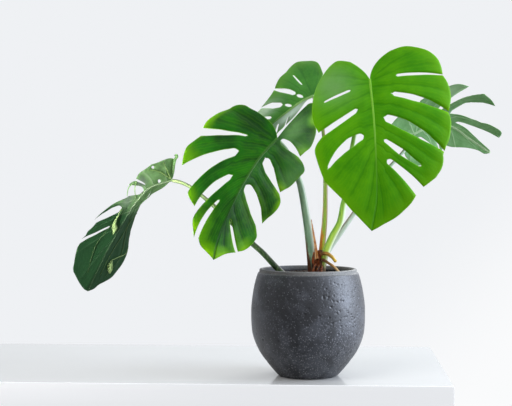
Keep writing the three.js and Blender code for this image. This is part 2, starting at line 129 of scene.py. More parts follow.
def tint(factor, low, high):
    """A colour between low and high."""
    sockets = {0: factor, 6: low, 7: high}
    return factor.node("ShaderNodeMix", {"data_type": "RGBA"}, sockets, output=2)


def ease(value, low, high, start=0.0, end=1.0):
    """Goes smoothly from start to end as value goes from low to high."""
    limits = {"From Min": low, "From Max": high, "To Min": start, "To Max": end, "Value": value}
    return value.node("ShaderNodeMapRange", {"interpolation_type": "SMOOTHSTEP"}, limits)


def cloud(wire, size, detail=3.0, roughness=0.5, stretch=(1, 1, 1)):
    """Soft noise from 0 to 1 in the piece's own space, with blobs of about the given size in metres."""
    place = wire.node("ShaderNodeTexCoord", output=3)
    scaled = wire.node("ShaderNodeMapping", inputs={"Vector": place, "Scale": stretch})
    sockets = {"Vector": scaled, "Scale": 1 / size, "Detail": detail, "Roughness": roughness}
    return wire.node("ShaderNodeTexNoise", inputs=sockets)


def surface(wire, colour, roughness, bump=None, height=0.0005, **constants):
    """The main shader, with what varies linked and what doesn't set on its own sockets."""
    sockets = {"Base Color": colour, "Roughness": roughness}
    sockets.update({name.replace("_", " "): value for name, value in constants.items()})
    if bump is not None:
        sockets["Normal"] = wire.node("ShaderNodeBump", inputs={"Height": bump, "Distance": height})
    return wire.node("ShaderNodeBsdfPrincipled", inputs=sockets)


def show(wire, shader):
    output = wire.tree.nodes.new("ShaderNodeOutputMaterial")
    wire.tree.links.new(shader.socket, output.inputs["Surface"])


def add_mesh(name, points, faces, finish):
    """A smooth mesh object from points in metres."""
    mesh = bpy.data.meshes.new(name)
    mesh.from_pydata([tuple(p) for p in points], [], [tuple(int(i) for i in f) for f in faces])
    mesh.materials.append(finish)
    mesh.polygons.foreach_set("use_smooth", [True] * len(mesh.polygons))
    mesh.update()
    piece = bpy.data.objects.new(name, mesh)
    bpy.context.collection.objects.link(piece)
    return piece


FLOOR_FRONT = -0.1
FLOOR_BACK = 0.355
FLOOR_LEFT = -2.4
FLOOR_RIGHT = 0.232
FLOOR_THICKNESS = 0.25


def make_floor():
    finish, start = new_finish("white_lacquered_board")
    mottle = cloud(start, 0.4)
    colour = tint(mottle, "#cfcecd", "#d3d2d1")
    show(start, surface(start, colour, ease(mottle, 0.3, 0.7, 0.09, 0.13), Specular_IOR_Level=0.35))
    xs, ys, zs = (FLOOR_LEFT, FLOOR_RIGHT), (FLOOR_FRONT, FLOOR_BACK), (-FLOOR_THICKNESS, 0)
    outline = ((xs[0], ys[0]), (xs[1], ys[0]), (xs[1], ys[1]), (xs[0], ys[1]))
    corners = [(x, y, z) for z in zs for x, y in outline]
    sides = [(3, 2, 1, 0), (4, 5, 6, 7)] + [(i, (i + 1) % 4, 4 + (i + 1) % 4, 4 + i) for i in range(4)]
    floor = add_mesh("studio_floor", corners, sides, finish)
    floor.data.polygons.foreach_set("use_smooth", [False] * 6)
    # The front face gets a brighter finish that glows a little: painted light, since the lamps leave it
    # darker than the top.
    edge, start = new_finish("white_front_face_painted_glow")
    show(start, surface(start, "#e4e3e3", 0.3, Emission_Color="#f2f3f6", Emission_Strength=0.3))
    floor.data.materials.append(edge)
    floor.data.polygons[2].material_index = 1
    rounded = floor.modifiers.new("rounded_edge", "BEVEL")
    rounded.width = 0.001
    rounded.segments = 3


def add_softbox(name, place, towards, size, power, colour, shines=True, spread=180):
    lamp = bpy.data.lights.new(name, "AREA")
    lamp.shape = "RECTANGLE"
    lamp.size, lamp.size_y = size
    lamp.energy = power
    lamp.color = colour
    lamp.spread = math.radians(spread)
    holder = bpy.data.objects.new(name, lamp)
    holder.location = place
    holder.rotation_euler = (Vector(towards) - Vector(place)).to_track_quat("-Z", "Y").to_euler()
    holder.visible_glossy = shines
    bpy.context.collection.objects.link(holder)


def make_air():
    world = bpy.data.worlds.new("studio_air")
    bpy.context.scene.world = world
    world.use_nodes = True
    world.node_tree.nodes.clear()
    start = Wire(world.node_tree)
    direction = start.node("ShaderNodeTexCoord")
    split = [start.node("ShaderNodeSeparateXYZ", inputs={0: direction}, output=i) for i in range(3)]
    window = ease(split[0] * 0.6 + split[1] * 0.35 + split[2] * 0.6, -0.8, 1.0, 0.2, 1.0)
    lit = start.node("ShaderNodeBackground", inputs={"Color": (0.93, 0.965, 1, 1), "Strength": window})
    corner = tint(ease(split[0] - split[2], 0.1, 0.3), "#eff1f4", "#fafbfc")
    seen = start.node("ShaderNodeBackground", inputs={"Color": corner, "Strength": 1.0})
    straight = start.node("ShaderNodeLightPath")
    both = start.node("ShaderNodeMixShader", inputs={0: straight, 1: lit, 2: seen})
    output = world.node_tree.nodes.new("ShaderNodeOutputWorld")
    world.node_tree.links.new(both.socket, output.inputs["Surface"])


make_floor()
make_air()
add_softbox("window_light", (2.0, -0.15, 0.9), (0, 0, 0.25), (1.4, 2.2), 70, (0.79, 0.88, 1))
add_softbox("front_light", (-1.5, -1.7, 2.3), (0, 0, 0.3), (1.6, 1.6), 42, (1, 1, 1), False)
add_softbox("low_light", (-0.95, -0.65, 0.02), (-0.27, 0, 0.33), (0.3, 0.3), 0.85, (1, 1, 0.98), False, 30)
add_softbox("back_light", (0.9, 1.9, 1.6), (0, 0, 0.4), (1.6, 1.4), 24, (1, 1, 0.98))


def stand_for(piece, node):
    """The piece takes the place and the body of the CAD node."""
    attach(piece, "root")
    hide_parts(node)


# --- The pot: slip-cast from cement and stone dust, with a plain lip, cured and left unglazed ---------
# A rounded shell 8 mm thick. Air bubbles in the mix leave small pits in its skin, painted near-black as
# painted shade in their hollows, and pale stone grains show in the dark grey. The lip is rubbed lighter,
# and painted lighter still towards the right as painted light.

POT_LOW, POT_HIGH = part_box("pot")
POT_HEIGHT = POT_HIGH[2] - POT_LOW[2]
POT_RADIUS = (POT_HIGH[0] - POT_LOW[0]) / 2
POT_LIP_RADIUS = 0.855 * POT_RADIUS
POT_LIP_HEIGHT = 6 * MM
POT_WALL = 8 * MM
POT_FLOOR = 12 * MM
POT_MOUTH_RADIUS = POT_LIP_RADIUS - 5.5 * MM
POT_SIDES = 480
POT_WALL_STEPS = 150
POT_FOOT_STEPS = 5
POT_PITS = 620
# Radius, as a part of the widest, against height, as a part of the whole.
POT_OUTSIDE = [
    (0.487, 0.001), (0.507, 0.004), (0.533, 0.0125), (0.6, 0.05), (0.742, 0.143), (0.845, 0.221),
    (0.924, 0.306), (0.977, 0.397), (0.998, 0.506), (1.0, 0.567), (0.997, 0.652), (0.974, 0.758),
    (0.934, 0.87), (0.886, 0.955), (0.877, 0.9635),
]


def smooth_path(points, count, start=0.0, end=1.0):
    """Evenly spaced points on a centripetal curve through the given ones."""
    p = np.asarray(points, float)
    q = np.vstack([2 * p[0] - p[1], p, 2 * p[-1] - p[-2]])
    knots = np.r_[0, np.cumsum(np.sqrt(np.linalg.norm(np.diff(q, axis=0), axis=1)) + 1e-9)]
    stretches = []
    for i in range(1, len(q) - 2):
        a, b, c, d = knots[i - 1:i + 3]
        t = np.linspace(b, c, 24, endpoint=False)[:, None]
        first = (b - t) / (b - a) * q[i - 1] + (t - a) / (b - a) * q[i]
        second = (c - t) / (c - b) * q[i] + (t - b) / (c - b) * q[i + 1]
        third = (d - t) / (d - c) * q[i + 1] + (t - c) / (d - c) * q[i + 2]
        left = (c - t) / (c - a) * first + (t - a) / (c - a) * second
        right = (d - t) / (d - b) * second + (t - b) / (d - b) * third
        stretches.append((c - t) / (c - b) * left + (t - b) / (c - b) * right)
    curve = np.vstack(stretches + [p[-1:]])
    run = np.r_[0, np.cumsum(np.linalg.norm(np.diff(curve, axis=0), axis=1))]
    steps = np.linspace(start, end, count) * run[-1]
    return np.stack([np.interp(steps, run, curve[:, k]) for k in range(curve.shape[1])], -1)


def grid_faces(rows, columns, ring=False):
    """Four-sided faces over a grid of points, closed round each row if it is a ring.

    Rows that climb while columns turn anticlockwise give faces that point out.
    """
    faces = []
    for i in range(rows - 1):
        for j in range(columns if ring else columns - 1):
            k = (j + 1) % columns
            faces.append((i * columns + j, i * columns + k, (i + 1) * columns + k, (i + 1) * columns + j))
    return faces


def closed_rings(rows, sides):
    """Faces over rows of rings, with a fan at each end to the two points numbered after the rings."""
    faces = grid_faces(rows, sides, ring=True)
    low, high, last_ring = rows * sides, rows * sides + 1, (rows - 1) * sides
    for j in range(sides):
        k = (j + 1) % sides
        faces.append((low, k, j))
        faces.append((high, last_ring + j, last_ring + k))
    return faces


def pot_profile(inside_bottom):
    """The pot's section from the middle of its foot, up the outside, over the lip and down inside."""
    outside = [(r * POT_RADIUS, z * POT_HEIGHT) for r, z in POT_OUTSIDE]
    wall = smooth_path(outside, POT_WALL_STEPS)
    top = POT_HEIGHT
    lip = [
        (POT_LIP_RADIUS + 0.4 * MM, top - POT_LIP_HEIGHT + 0.4 * MM),
        (POT_LIP_RADIUS, top - POT_LIP_HEIGHT + 1.4 * MM), (POT_LIP_RADIUS, top - 2.6 * MM),
        (POT_LIP_RADIUS - 0.2 * MM, top - 1.3 * MM), (POT_LIP_RADIUS - 1.0 * MM, top - 0.3 * MM),
        (POT_LIP_RADIUS - 2.2 * MM, top), (POT_MOUTH_RADIUS + 1.6 * MM, top),
        (POT_MOUTH_RADIUS + 0.5 * MM, top - 0.5 * MM), (POT_MOUTH_RADIUS, top - 1.6 * MM),
        (POT_MOUTH_RADIUS, 0.94 * top),
    ]
    inner = [(r - POT_WALL, z) for r, z in wall[::-1] if 0.12 * top < z < 0.9 * top]
    foot = [(0, 1.2 * MM), (0.36 * POT_RADIUS, 1.2 * MM), (0.4 * POT_RADIUS, 0.4 * MM)]
    foot += [(0.42 * POT_RADIUS, 0), (0.475 * POT_RADIUS, 0)]
    bottom = [(0.42 * POT_RADIUS, inside_bottom), (0, inside_bottom)]
    return np.array(foot + list(wall) + lip + inner[::8] + bottom)


def revolve(profile, sides):
    turns = np.linspace(0, 2 * math.pi, sides, endpoint=False)
    across = np.stack([np.cos(turns), np.sin(turns)], -1)
    rings = profile[:, None, :1] * across[None]
    heights = np.repeat(profile[:, None, 1:], sides, axis=1)
    return np.concatenate([rings, heights], -1)


def make_pot():
    sides = POT_SIDES
    rings = revolve(pot_profile(POT_FLOOR), sides)
    rows = len(rings)
    chance = random.Random(11)
    dips = np.zeros((rows, sides))
    for _ in range(POT_PITS):
        height = POT_HEIGHT * (0.1 + 0.83 * chance.random() ** 0.55)
        turn = chance.choice((chance.uniform(0, 2 * math.pi), chance.gauss(-0.75, 0.45)))
        size = MM * (0.9 + 0.9 * chance.random() ** 3)
        across = POT_RADIUS * (np.linspace(0, 2 * math.pi, sides, endpoint=False) - turn + math.pi)
        across = across % (2 * math.pi * POT_RADIUS) - math.pi * POT_RADIUS
        away = np.hypot(across[None] / chance.uniform(0.8, 1.5), rings[..., 2] - height)
        dips = np.maximum(dips, np.clip(1 - (away / size) ** 2, 0, 1) ** 0.7 * size * 0.75)
    for i in range(POT_FOOT_STEPS + 2, POT_FOOT_STEPS + POT_WALL_STEPS - 1):
        for j in range(sides):
            x, y, z = rings[i, j]
            at = Vector((x, y, z))
            swell = noise.noise(at * 38) * 0.5 + noise.noise(at * 160) * 0.25
            shrink = 1 + (swell * 0.35 * MM - dips[i, j]) / max(math.hypot(x, y), 1e-6)
            rings[i, j, :2] = x * shrink, y * shrink
    points = list(rings[1:-1].reshape(-1, 3)) + [rings[0, 0], rings[-1, 0]]
    return points, closed_rings(rows - 2, sides)


def pot_finish():
    finish, start = new_finish("charcoal_stone_mix")
    broad = cloud(start, 0.05, 4, 0.6)
    fine = cloud(start, 0.0022, 3, 0.6)
    grain = cloud(start, 0.0007, 2, 0.5)
    colour = tint(ease(broad, 0.3, 0.7), "#1a1918", "#252423")
    colour = tint(ease(fine, 0.42, 0.75, 0, 0.6), colour, "#131315")
    speckle = ease(grain, 0.64, 0.76, 0, 0.6)
    colour = tint(speckle, colour, "#6f7073")
    place = start.node("ShaderNodeTexCoord", output=3)
    across, height = (start.node("ShaderNodeSeparateXYZ", inputs={0: place}, output=i) for i in (0, 2))
    cells, lottery = (start.node("ShaderNodeTexVoronoi", inputs={"Vector": place, "Scale": 340.0}, output=i)
                      for i in (0, 1))
    dust = cloud(start, 0.03, 3, 0.6)
    gritty = ease(height, 0.12, 0.06) * ease(across, -0.06, 0.0, 0.03, 0.14)
    chosen = ease(lottery + dust * 1.6 + gritty * 1.2, 1.25, 1.4)
    crumbs = ease(cells, 0.42, 0.2) * chosen * ease(gritty, 0.0, 0.12, 0.35, 1.0)
    colour = tint(crumbs * 0.9, colour, "#8c8c8e")
    haze = ease(dust + gritty + fine * 0.3, 0.6, 0.9, 0.0, 0.5)
    colour = tint(haze, colour, "#55575c")
    # Small pits, painted near-black as painted shade in their hollows; the same mask sinks them in the
    # bump.
    holes = start.node("ShaderNodeTexVoronoi", inputs={"Vector": place, "Scale": 210.0})
    pocked = ease(across, -0.02, 0.05, 0.0, 0.75) * ease(height, 0.05, 0.14) + 0.25
    pits_and_their_shade = ease(holes, 0.2, 0.1) * ease(cloud(start, 0.012, 2, 0.5) * pocked, 0.12, 0.3)
    colour = tint(pits_and_their_shade, colour, "#08080a")
    rubbed = ease(height, POT_HEIGHT - 7.5 * MM, POT_HEIGHT - 5 * MM)
    # The lip's own lighter grey is painted lighter still towards the right, where the window light falls:
    # painted light.
    lip_grey_and_painted_light = tint(ease(across, -0.06, 0.05), "#535250", "#93918e")
    colour = tint(rubbed * ease(fine, 0.2, 0.7, 0.95, 0.6), colour, lip_grey_and_painted_light)
    relief = fine * 0.6 + grain * 0.35 + crumbs * 0.5 + pits_and_their_shade * -2.5
    roughness = ease(broad + fine * 0.5, 0.4, 1.1, 0.42, 0.56)
    polished = ease(height, 0.015, 0.085) * ease(rubbed, 0.0, 1.0, 0.9, 0.1)
    show(start, surface(start, colour, roughness, relief, 0.0006, Specular_IOR_Level=0.5,
                        Specular_Tint="#e0e6f8", Coat_Weight=polished, Coat_Roughness=0.46, Coat_IOR=1.6,
                        Coat_Tint="#f4f6ff"))
    return finish


pot = add_mesh("stone_mix_pot", *make_pot(), pot_finish())
stand_for(pot, "pot")


# --- The soil: damp peat and bark crumbs, mounded a little to the crown -------------------------------
# It fills the pot to just under the mouth. Loose crumbs of bark and a few grit grains lie on it.

SOIL_TOP = 167 * MM
SOIL_MOUND = 5 * MM
SOIL_DEPTH = 60 * MM
SOIL_CRUMBS = 420


def soil_height(x, y):
    """The mounded surface, with clods."""
    out = min(math.hypot(x, y) / POT_MOUTH_RADIUS, 1)
    mound = SOIL_TOP + SOIL_MOUND * (1 - out ** 1.5)
    at = Vector((x, y, 0.0))
    clods = noise.noise(at * 90) * 1.3 * MM + noise.noise(at * 260) * 0.9 * MM
    clods += noise.noise(at * 620) * 0.5 * MM
    return mound + clods * min(1, (1 - out) * 8 + 0.3)


def make_soil():
    sides, rows = 160, 56
    outer = POT_MOUTH_RADIUS - 0.3 * MM
    points = []
    for i in range(rows):
        radius = outer * (i + 1) / rows
        for j in range(sides):
            turn = 2 * math.pi * (j + 0.5 * (i % 2)) / sides
            x, y = radius * math.cos(turn), radius * math.sin(turn)
            points.append((x, y, soil_height(x, y)))
    for depth in (6 * MM, SOIL_DEPTH):
        for j in range(sides):
            turn = 2 * math.pi * (j + 0.5 * ((rows - 1) % 2)) / sides
            points.append((outer * math.cos(turn), outer * math.sin(turn), SOIL_TOP - depth))
    points += [(0, 0, soil_height(0, 0)), (0, 0, SOIL_TOP - SOIL_DEPTH)]
    return points, [f[::-1] for f in closed_rings(rows + 2, sides)]


def crumb(at, size, chance):
    """One loose chip: a squashed ball of eight corners and six sides, pushed about."""
    turn = chance.uniform(0, math.pi)
    squash = chance.uniform(0.35, 0.8)
    length = chance.uniform(1.0, 1.9)
    points = []
    for i in range(6):
        for j in range(8):
            lift = math.pi * (i + 0.5) / 6 - math.pi / 2
            around = 2 * math.pi * j / 8
            push = chance.uniform(0.78, 1.15)
            x = math.cos(lift) * math.cos(around) * push * length
            y = math.cos(lift) * math.sin(around) * push
            z = math.sin(lift) * push * squash
            spot = (x * math.cos(turn) - y * math.sin(turn), x * math.sin(turn) + y * math.cos(turn), z)
            points.append(tuple(a + size * s for a, s in zip(at, spot)))
    faces = grid_faces(6, 8, ring=True) + [tuple(range(7, -1, -1)), tuple(range(40, 48))]
    return points, faces


def soil_finish():
    finish, start = new_finish("damp_peat")
    broad = cloud(start, 0.018, 4, 0.6)
    fine = cloud(start, 0.002, 4, 0.65)
    colour = tint(ease(broad, 0.3, 0.7), "#231812", "#3d2a1d")
    colour = tint(ease(fine, 0.5, 0.75, 0, 0.7), colour, "#5f4732")
    show(start, surface(start, colour, ease(fine, 0.3, 0.7, 0.75, 0.95), fine, 0.0012))
    return finish


points, faces = make_soil()
chance = random.Random(4)
for _ in range(SOIL_CRUMBS):
    radius = (POT_MOUTH_RADIUS - 5 * MM) * math.sqrt(chance.random())
    turn = chance.uniform(0, 2 * math.pi)
    x, y = radius * math.cos(turn), radius * math.sin(turn)
    size = MM * (0.7 + 2.0 * chance.random() ** 2)
    more, sides = crumb((x, y, soil_height(x, y) + 0.25 * size), size, chance)
    faces += [tuple(len(points) + i for i in f) for f in sides]
    points += more
soil = add_mesh("potting_soil", points, faces, soil_finish())
stand_for(soil, "soil")


# --- The leaf stalks: round juicy stems, grooved on their upper side where they leave the crown -------
# Each tapers from the crown to its leaf, and bends like a knuckle just below the blade. Paths run
# from inside the soil or crown to the leaf, with the radius read evenly along them.

STALKS = {
    "far_left": {
        "path": [(-14, 8, 140), (-34, 7, 162), (-49, 5, 175), (-77, 2, 205), (-94, 2, 220), (-127, 3, 253),
                 (-158, 5, 282), (-180, 9, 300), (-199, 13, 314), (-217, 17, 322), (-229.5, 20, 324.5)],
        "radii": [5.2, 5, 4.7, 4, 3.2, 2.7],
    },
    "front_left": {
        "path": [(6, -3, 150), (6, -3, 179), (2, -4, 226), (-3.5, -3, 267), (-13, 0, 317), (-24, -14, 350),
                 (-35, -36, 375), (-47.5, -51.5, 390.5)],
        "radii": [7, 6.9, 6.6, 5.8, 4.2, 2.8],
    },
    "back": {
        "path": [(18, 7, 166), (20.5, 7, 188), (24.5, 7, 225), (27.5, 7, 258), (28.5, 7.5, 300),
                 (28, 8, 345), (26, 9.5, 395), (19, 11, 440), (8.6, 10.6, 464.5)],
        "radii": [5, 4.9, 4, 3.4, 2.8, 2.4],
    },
    "front_right": {
        "path": [(22, -5, 166), (26, -6, 192), (32, -8, 212), (41, -11, 233), (52.5, -14, 255),
                 (58, -18, 284), (62, -21, 301), (67, -29, 342), (73, -38, 382), (82, -47, 426),
                 (99.3, -57.6, 483)],
        "radii": [5.8, 6, 4.6, 4, 3.4, 2.8],
    },
    "back_right": {
        "path": [(22, 18, 170), (27, 17.5, 194), (36, 15, 211), (54, 14.5, 237), (75, 18, 267),
                 (100.5, 27, 304), (121, 35, 331), (143, 43, 354), (164, 52, 378), (176, 58.5, 400.5)],
        "radii": [5, 4.9, 4.1, 3.6, 3, 2.6],
    },
}


def along(values, t):
    """Reads a short list of evenly spaced numbers at t from 0 to 1."""
    return np.interp(t, np.linspace(0, 1, len(values)), values)


def sweep(path, radius, sides, count):
    """A rod along a smooth path in millimetres, with rounded ends. radius(t, angle) gives its section."""
    spine = smooth_path(path, count) * MM
    t = np.linspace(0, 1, count)
    tangent = np.gradient(spine, axis=0)
    tangent /= np.linalg.norm(tangent, axis=1, keepdims=True)
    side = np.cross((0, 1, 0), tangent)
    side /= np.linalg.norm(side, axis=1, keepdims=True)
    front = np.cross(side, tangent)
    angle = np.linspace(0, 2 * math.pi, sides, endpoint=False)
    size = radius(t[:, None], angle[None]) * MM
    size = np.broadcast_to(size, (count, sides)).copy()
    across = np.cos(angle)[None, :, None] * side[:, None] + np.sin(angle)[None, :, None] * front[:, None]
    rings = spine[:, None] + across * size[..., None]
    caps = []
    for at, way in ((0, -1), (-1, 1)):
        bulge = 0.45 * size[at].mean()
        half_ring = spine[at] + (rings[at] - spine[at]) * 0.72 + way * tangent[at] * bulge * 0.7
        caps.append((half_ring, spine[at] + way * tangent[at] * bulge))
    rings = np.concatenate([caps[0][0][None], rings, caps[1][0][None]])
    points = list(rings.reshape(-1, 3)) + [caps[0][1], caps[1][1]]
    return points, closed_rings(count + 2, sides), np.r_[0, t, 1]


def set_number(piece, name, values):
    """Keeps one number for each point of the mesh, for its finish to read."""
    made = piece.data.attributes.new(name, "FLOAT", "POINT")
    made.data.foreach_set("value", np.asarray(values, "f"))


def add_rod(name, path, radius, sides, count, finish):
    """A rod that keeps how far along it each point is and how far to the right it faces."""
    points, faces, t = sweep(path, radius, sides, count)
    piece = add_mesh(name, points, faces, finish)
    set_number(piece, "climb", np.r_[np.repeat(t, sides), 0, 1])
    turn = np.cos(np.linspace(0, 2 * math.pi, sides, endpoint=False))
    set_number(piece, "turn", np.r_[np.tile(turn, len(t)), 0, 0])
    return piece


def read_number(wire, name):
    return wire.node("ShaderNodeAttribute", {"attribute_name": name}, output=2)


def stalk_finish(name, low, middle, high, streak, left, right, base, base_reach, leaning=0.0):
    """Green skin with a tint for each side, fine lengthwise streaks and a brown base. On three stalks the
    pale right side is painted light, and the front-left stalk's dark left side is painted shade.
    """
    finish, start = new_finish(name)
    climb = read_number(start, "climb")
    turn = read_number(start, "turn")
    colour = tint(ease(climb, 0.12, 0.5), low, middle)
    colour = tint(ease(climb, 0.55, 0.95), colour, high)
    fleck = cloud(start, 0.0035, 4, 0.6, stretch=(1, 1, 0.12))
    colour = tint(ease(fleck, 0.42, 0.68, 0, 0.55), colour, streak)
    # Side tints: the pale right tints are painted light from the window, and the front-left stalk's dark
    # left tint is painted shade.
    colour = tint(ease(turn, -0.1, -0.9, 0.0, 0.85), colour, left)
    colour = tint(ease(turn, 0.2, 0.95, 0.0, 0.85), colour, right)
    patches = cloud(start, 0.012, 4, 0.65, stretch=(1, 1, 0.35))
    brown = ease(patches + climb * (-0.9 / base_reach) + turn * leaning, 0.0, 0.3)
    colour = tint(brown, colour, base)
    dots = cloud(start, 0.0012, 2, 0.5, stretch=(1, 1, 0.5))
    colour = tint(ease(dots, 0.66, 0.75, 0, 0.4), colour, "#c9d8b0")
    roughness = ease(brown, 0.0, 1.0, 0.36, 0.75)
    relief = fleck * 0.5 + brown * patches
    show(start, surface(start, colour, roughness, relief, 0.0006))
    return finish


def make_stalk(place):
    stalk = STALKS[place]

    def radius(t, angle):
        size = along(stalk["radii"], t)
        knuckle = 0.35 * np.exp(-((t - 0.965) / 0.025) ** 2)
        groove = np.exp(-((angle - 1.5 * math.pi) / 0.35) ** 2) * 0.12 * np.clip(1 - t * 2.2, 0, 1)
        ridges = 0.02 * np.cos(angle * 7)
        return size * (1 + ridges - groove) + knuckle

    finish = stalk_finish(f"{place}_stalk_skin", *STALK_COLOURS[place])
    stand_for(add_rod(f"leaf_stalk_{place}", stalk["path"], radius, 20, 110, finish), f"stalk_{place}")


# The fifth and sixth colours tint each stalk's left and right sides; the pale right tints of the
# front-left, front-right and back-right stalks are painted light, and the dark left tint of the front-left
# stalk is painted shade.
STALK_COLOURS = {
    "far_left": ("#15290f", "#3c5a28", "#b4cc88", "#6c8a4c", "#36532c",
                 "#223218", "#3c2c1b", 0.12),
    "front_left": ("#54785a", "#7a9a78", "#86a878", "#9cb49a", "#3c5f38",
                   "#c4cec0", "#4c2812", 0.3, -0.55),
    "back": ("#8cac20", "#88ac38", "#7fa24c", "#a0903a", "#8c9470",
             "#7a3412", "#c27a20", 0.5, -0.3),
    "front_right": ("#b8d850", "#80b43c", "#7cae3e", "#98c454", "#4f8a20",
                    "#e6f2d4", "#5a4024", 0.26),
    "back_right": ("#b0bcb0", "#a0ada0", "#8cac88", "#bcc8bc", "#6a5a44",
                   "#ccd6cc", "#6a4426", 0.18),
}
for place in STALKS:
    make_stalk(place)


# --- The crown: the short woody stem that the stalks and air roots grow from --------------------------
# Old leaf bases leave rings and rust-brown fibres on it. A few blunt young roots push out of its foot.

CROWN_PATH = [(12, -2, 118), (15, -2, 145), (18, -3, 172), (20, -3, 192), (20, -3, 207)]
CROWN_RADII = [7, 9, 10, 9.5, 6]
CROWN_FIBRES = 26
YOUNG_ROOTS = [
    ([(13, -12, 186), (9, -15, 176), (8, -17, 165)], [2.4, 2.6, 2.2, 1.2]),
    ([(18, -12, 184), (16, -16, 175), (15, -18, 164)], [2.2, 2.6, 2.4, 1.3]),
    ([(23, -11, 182), (22, -16, 175), (23, -18, 165)], [2.0, 2.3, 2.1, 1.2]),
    ([(10, -9, 206), (8.5, -11, 192), (9, -12, 176), (8, -12, 166)], [0.8, 2.6, 2.4, 1.5]),
]


def bark_finish(name, dark, warm, pale, streak_length=0.1):
    finish, start = new_finish(name)
    strands = cloud(start, 0.0016, 4, 0.65, stretch=(1, 1, streak_length))
    broad = cloud(start, 0.008, 3, 0.6)
    colour = tint(ease(broad, 0.38, 0.62), dark, warm)
    colour = tint(ease(strands, 0.5, 0.72, 0, 0.75), colour, pale)
    colour = tint(ease(strands, 0.44, 0.3, 0, 0.8), colour, dark)
    show(start, surface(start, colour, ease(broad, 0.3, 0.7, 0.6, 0.8), strands, 0.0012))
    return finish


def merge(parts):
    """Joins (points, faces) pairs to one."""
    points, faces = [], []
    for more, sides in parts:
        faces += [tuple(len(points) + i for i in f) for f in sides]
        points += [tuple(p) for p in more]
    return points, faces


def strand(path, radii, sides=7, count=24):
    points, faces, _ = sweep(path, lambda t, angle: along(radii, t), sides, count)
    return points, faces


def make_crown():
    def radius(t, angle):
        rings = 0.5 * np.maximum(0, np.sin(t * 34 + 0.8 * np.sin(angle * 2))) ** 2
        fibres = 0.35 * np.sin(angle * 9 + t * 5) + 0.2 * np.sin(angle * 17 - t * 9)
        return along(CROWN_RADII, t) - 1.0 + rings + fibres

    points, faces, _ = sweep(CROWN_PATH, radius, 48, 120)
    parts = [(points, faces)] + [strand(*root) for root in YOUNG_ROOTS]
    chance = random.Random(21)
    for _ in range(CROWN_FIBRES):
        turn = chance.uniform(-2.9, 0.2)
        low, high = chance.uniform(168, 184), chance.uniform(192, 209)
        x, y = 18.5 + 9.6 * math.cos(turn), -3 + 9.6 * math.sin(turn)
        lean = chance.uniform(-2.5, 2.5)
        middle = (x + 0.3 * lean, y - 0.4, (low + high) / 2)
        path = [(x, y, low), middle, (x * 0.9 + 2 + lean, y * 0.8, high)]
        parts.append(strand(path, [0.35, 0.5, 0.25], 5, 10))
    return merge(parts)


finish = bark_finish("rust_brown_crown", "#2c140c", "#843c14", "#c07a48")
crown = add_mesh("woody_crown", *make_crown(), finish)
stand_for(crown, "crown")


# --- The air roots: one blunt stub with a golden growing tip, and one long root that reaches the soil ---
# Both come out of the crown on the right. Their skin is corky and brown, and the young ends are paler.
# Their right sides are painted paler as a painted highlight.

AIR_ROOTS = {
    "stub": {
        "path": [(22, -11, 203), (30, -15, 204), (38, -18, 200), (46, -20, 191)],
        "radii": [3.4, 3.2, 2.6],
        "colours": ("#5a3514", "#a07428", "#d0aa3c"),
    },
    "long": {
        "path": [(24, -12, 194), (33, -17, 189), (42, -20, 183), (50, -21, 175), (56, -20, 164)],
        "radii": [2.8, 2.4, 2.2, 2],
        "colours": ("#5c3a1c", "#a87a40", "#dcc094"),
    },
}


def root_finish(name, dark, middle, pale):
    finish, start = new_finish(name)
    climb = read_number(start, "climb")
    turn = read_number(start, "turn")
    cork = cloud(start, 0.0018, 4, 0.65)
    colour = tint(ease(climb + cork * 0.5, 0.3, 0.75), dark, middle)
    colour = tint(ease(climb + cork * 0.3, 0.55, 1.05), colour, pale)
    # Paler on the side that faces right: a painted highlight from the window.
    colour = tint(ease(turn + cork, 0.9, 1.5, 0, 0.5), colour, pale)
    colour = tint(ease(cork, 0.6, 0.75, 0, 0.5), colour, dark)
    show(start, surface(start, colour, ease(cork, 0.3, 0.7, 0.5, 0.75), cork, 0.0007))
    return finish


def make_air_root(name):
    root = AIR_ROOTS[name]

    def radius(t, angle):
        knots = 0.12 * np.sin(t * 21 + np.cos(angle)) + 0.06 * np.sin(angle * 4 + t * 15)
        return along(root["radii"], t) - 0.15 + knots

    finish = root_finish(f"{name}_root_cork", *root["colours"])
    stand_for(add_rod(f"air_root_{name}_skin", root["path"], radius, 18, 60, finish), f"air_root_{name}")


for name in AIR_ROOTS:
    make_air_root(name)


# --- The dry sheath: the papery remnant of an old leaf base, standing against the front stalk ---------
# It is thin, tan to orange, and curls in at its edges. It narrows to a point.

SHEATH_PATH = [(14.5, -11.2, 194.5), (12.5, -11.5, 216), (9, -10.8, 238), (5.5, -10.5, 260)]
SHEATH_HALF_WIDTHS = [3.2, 2.1, 1.4, 0.5]


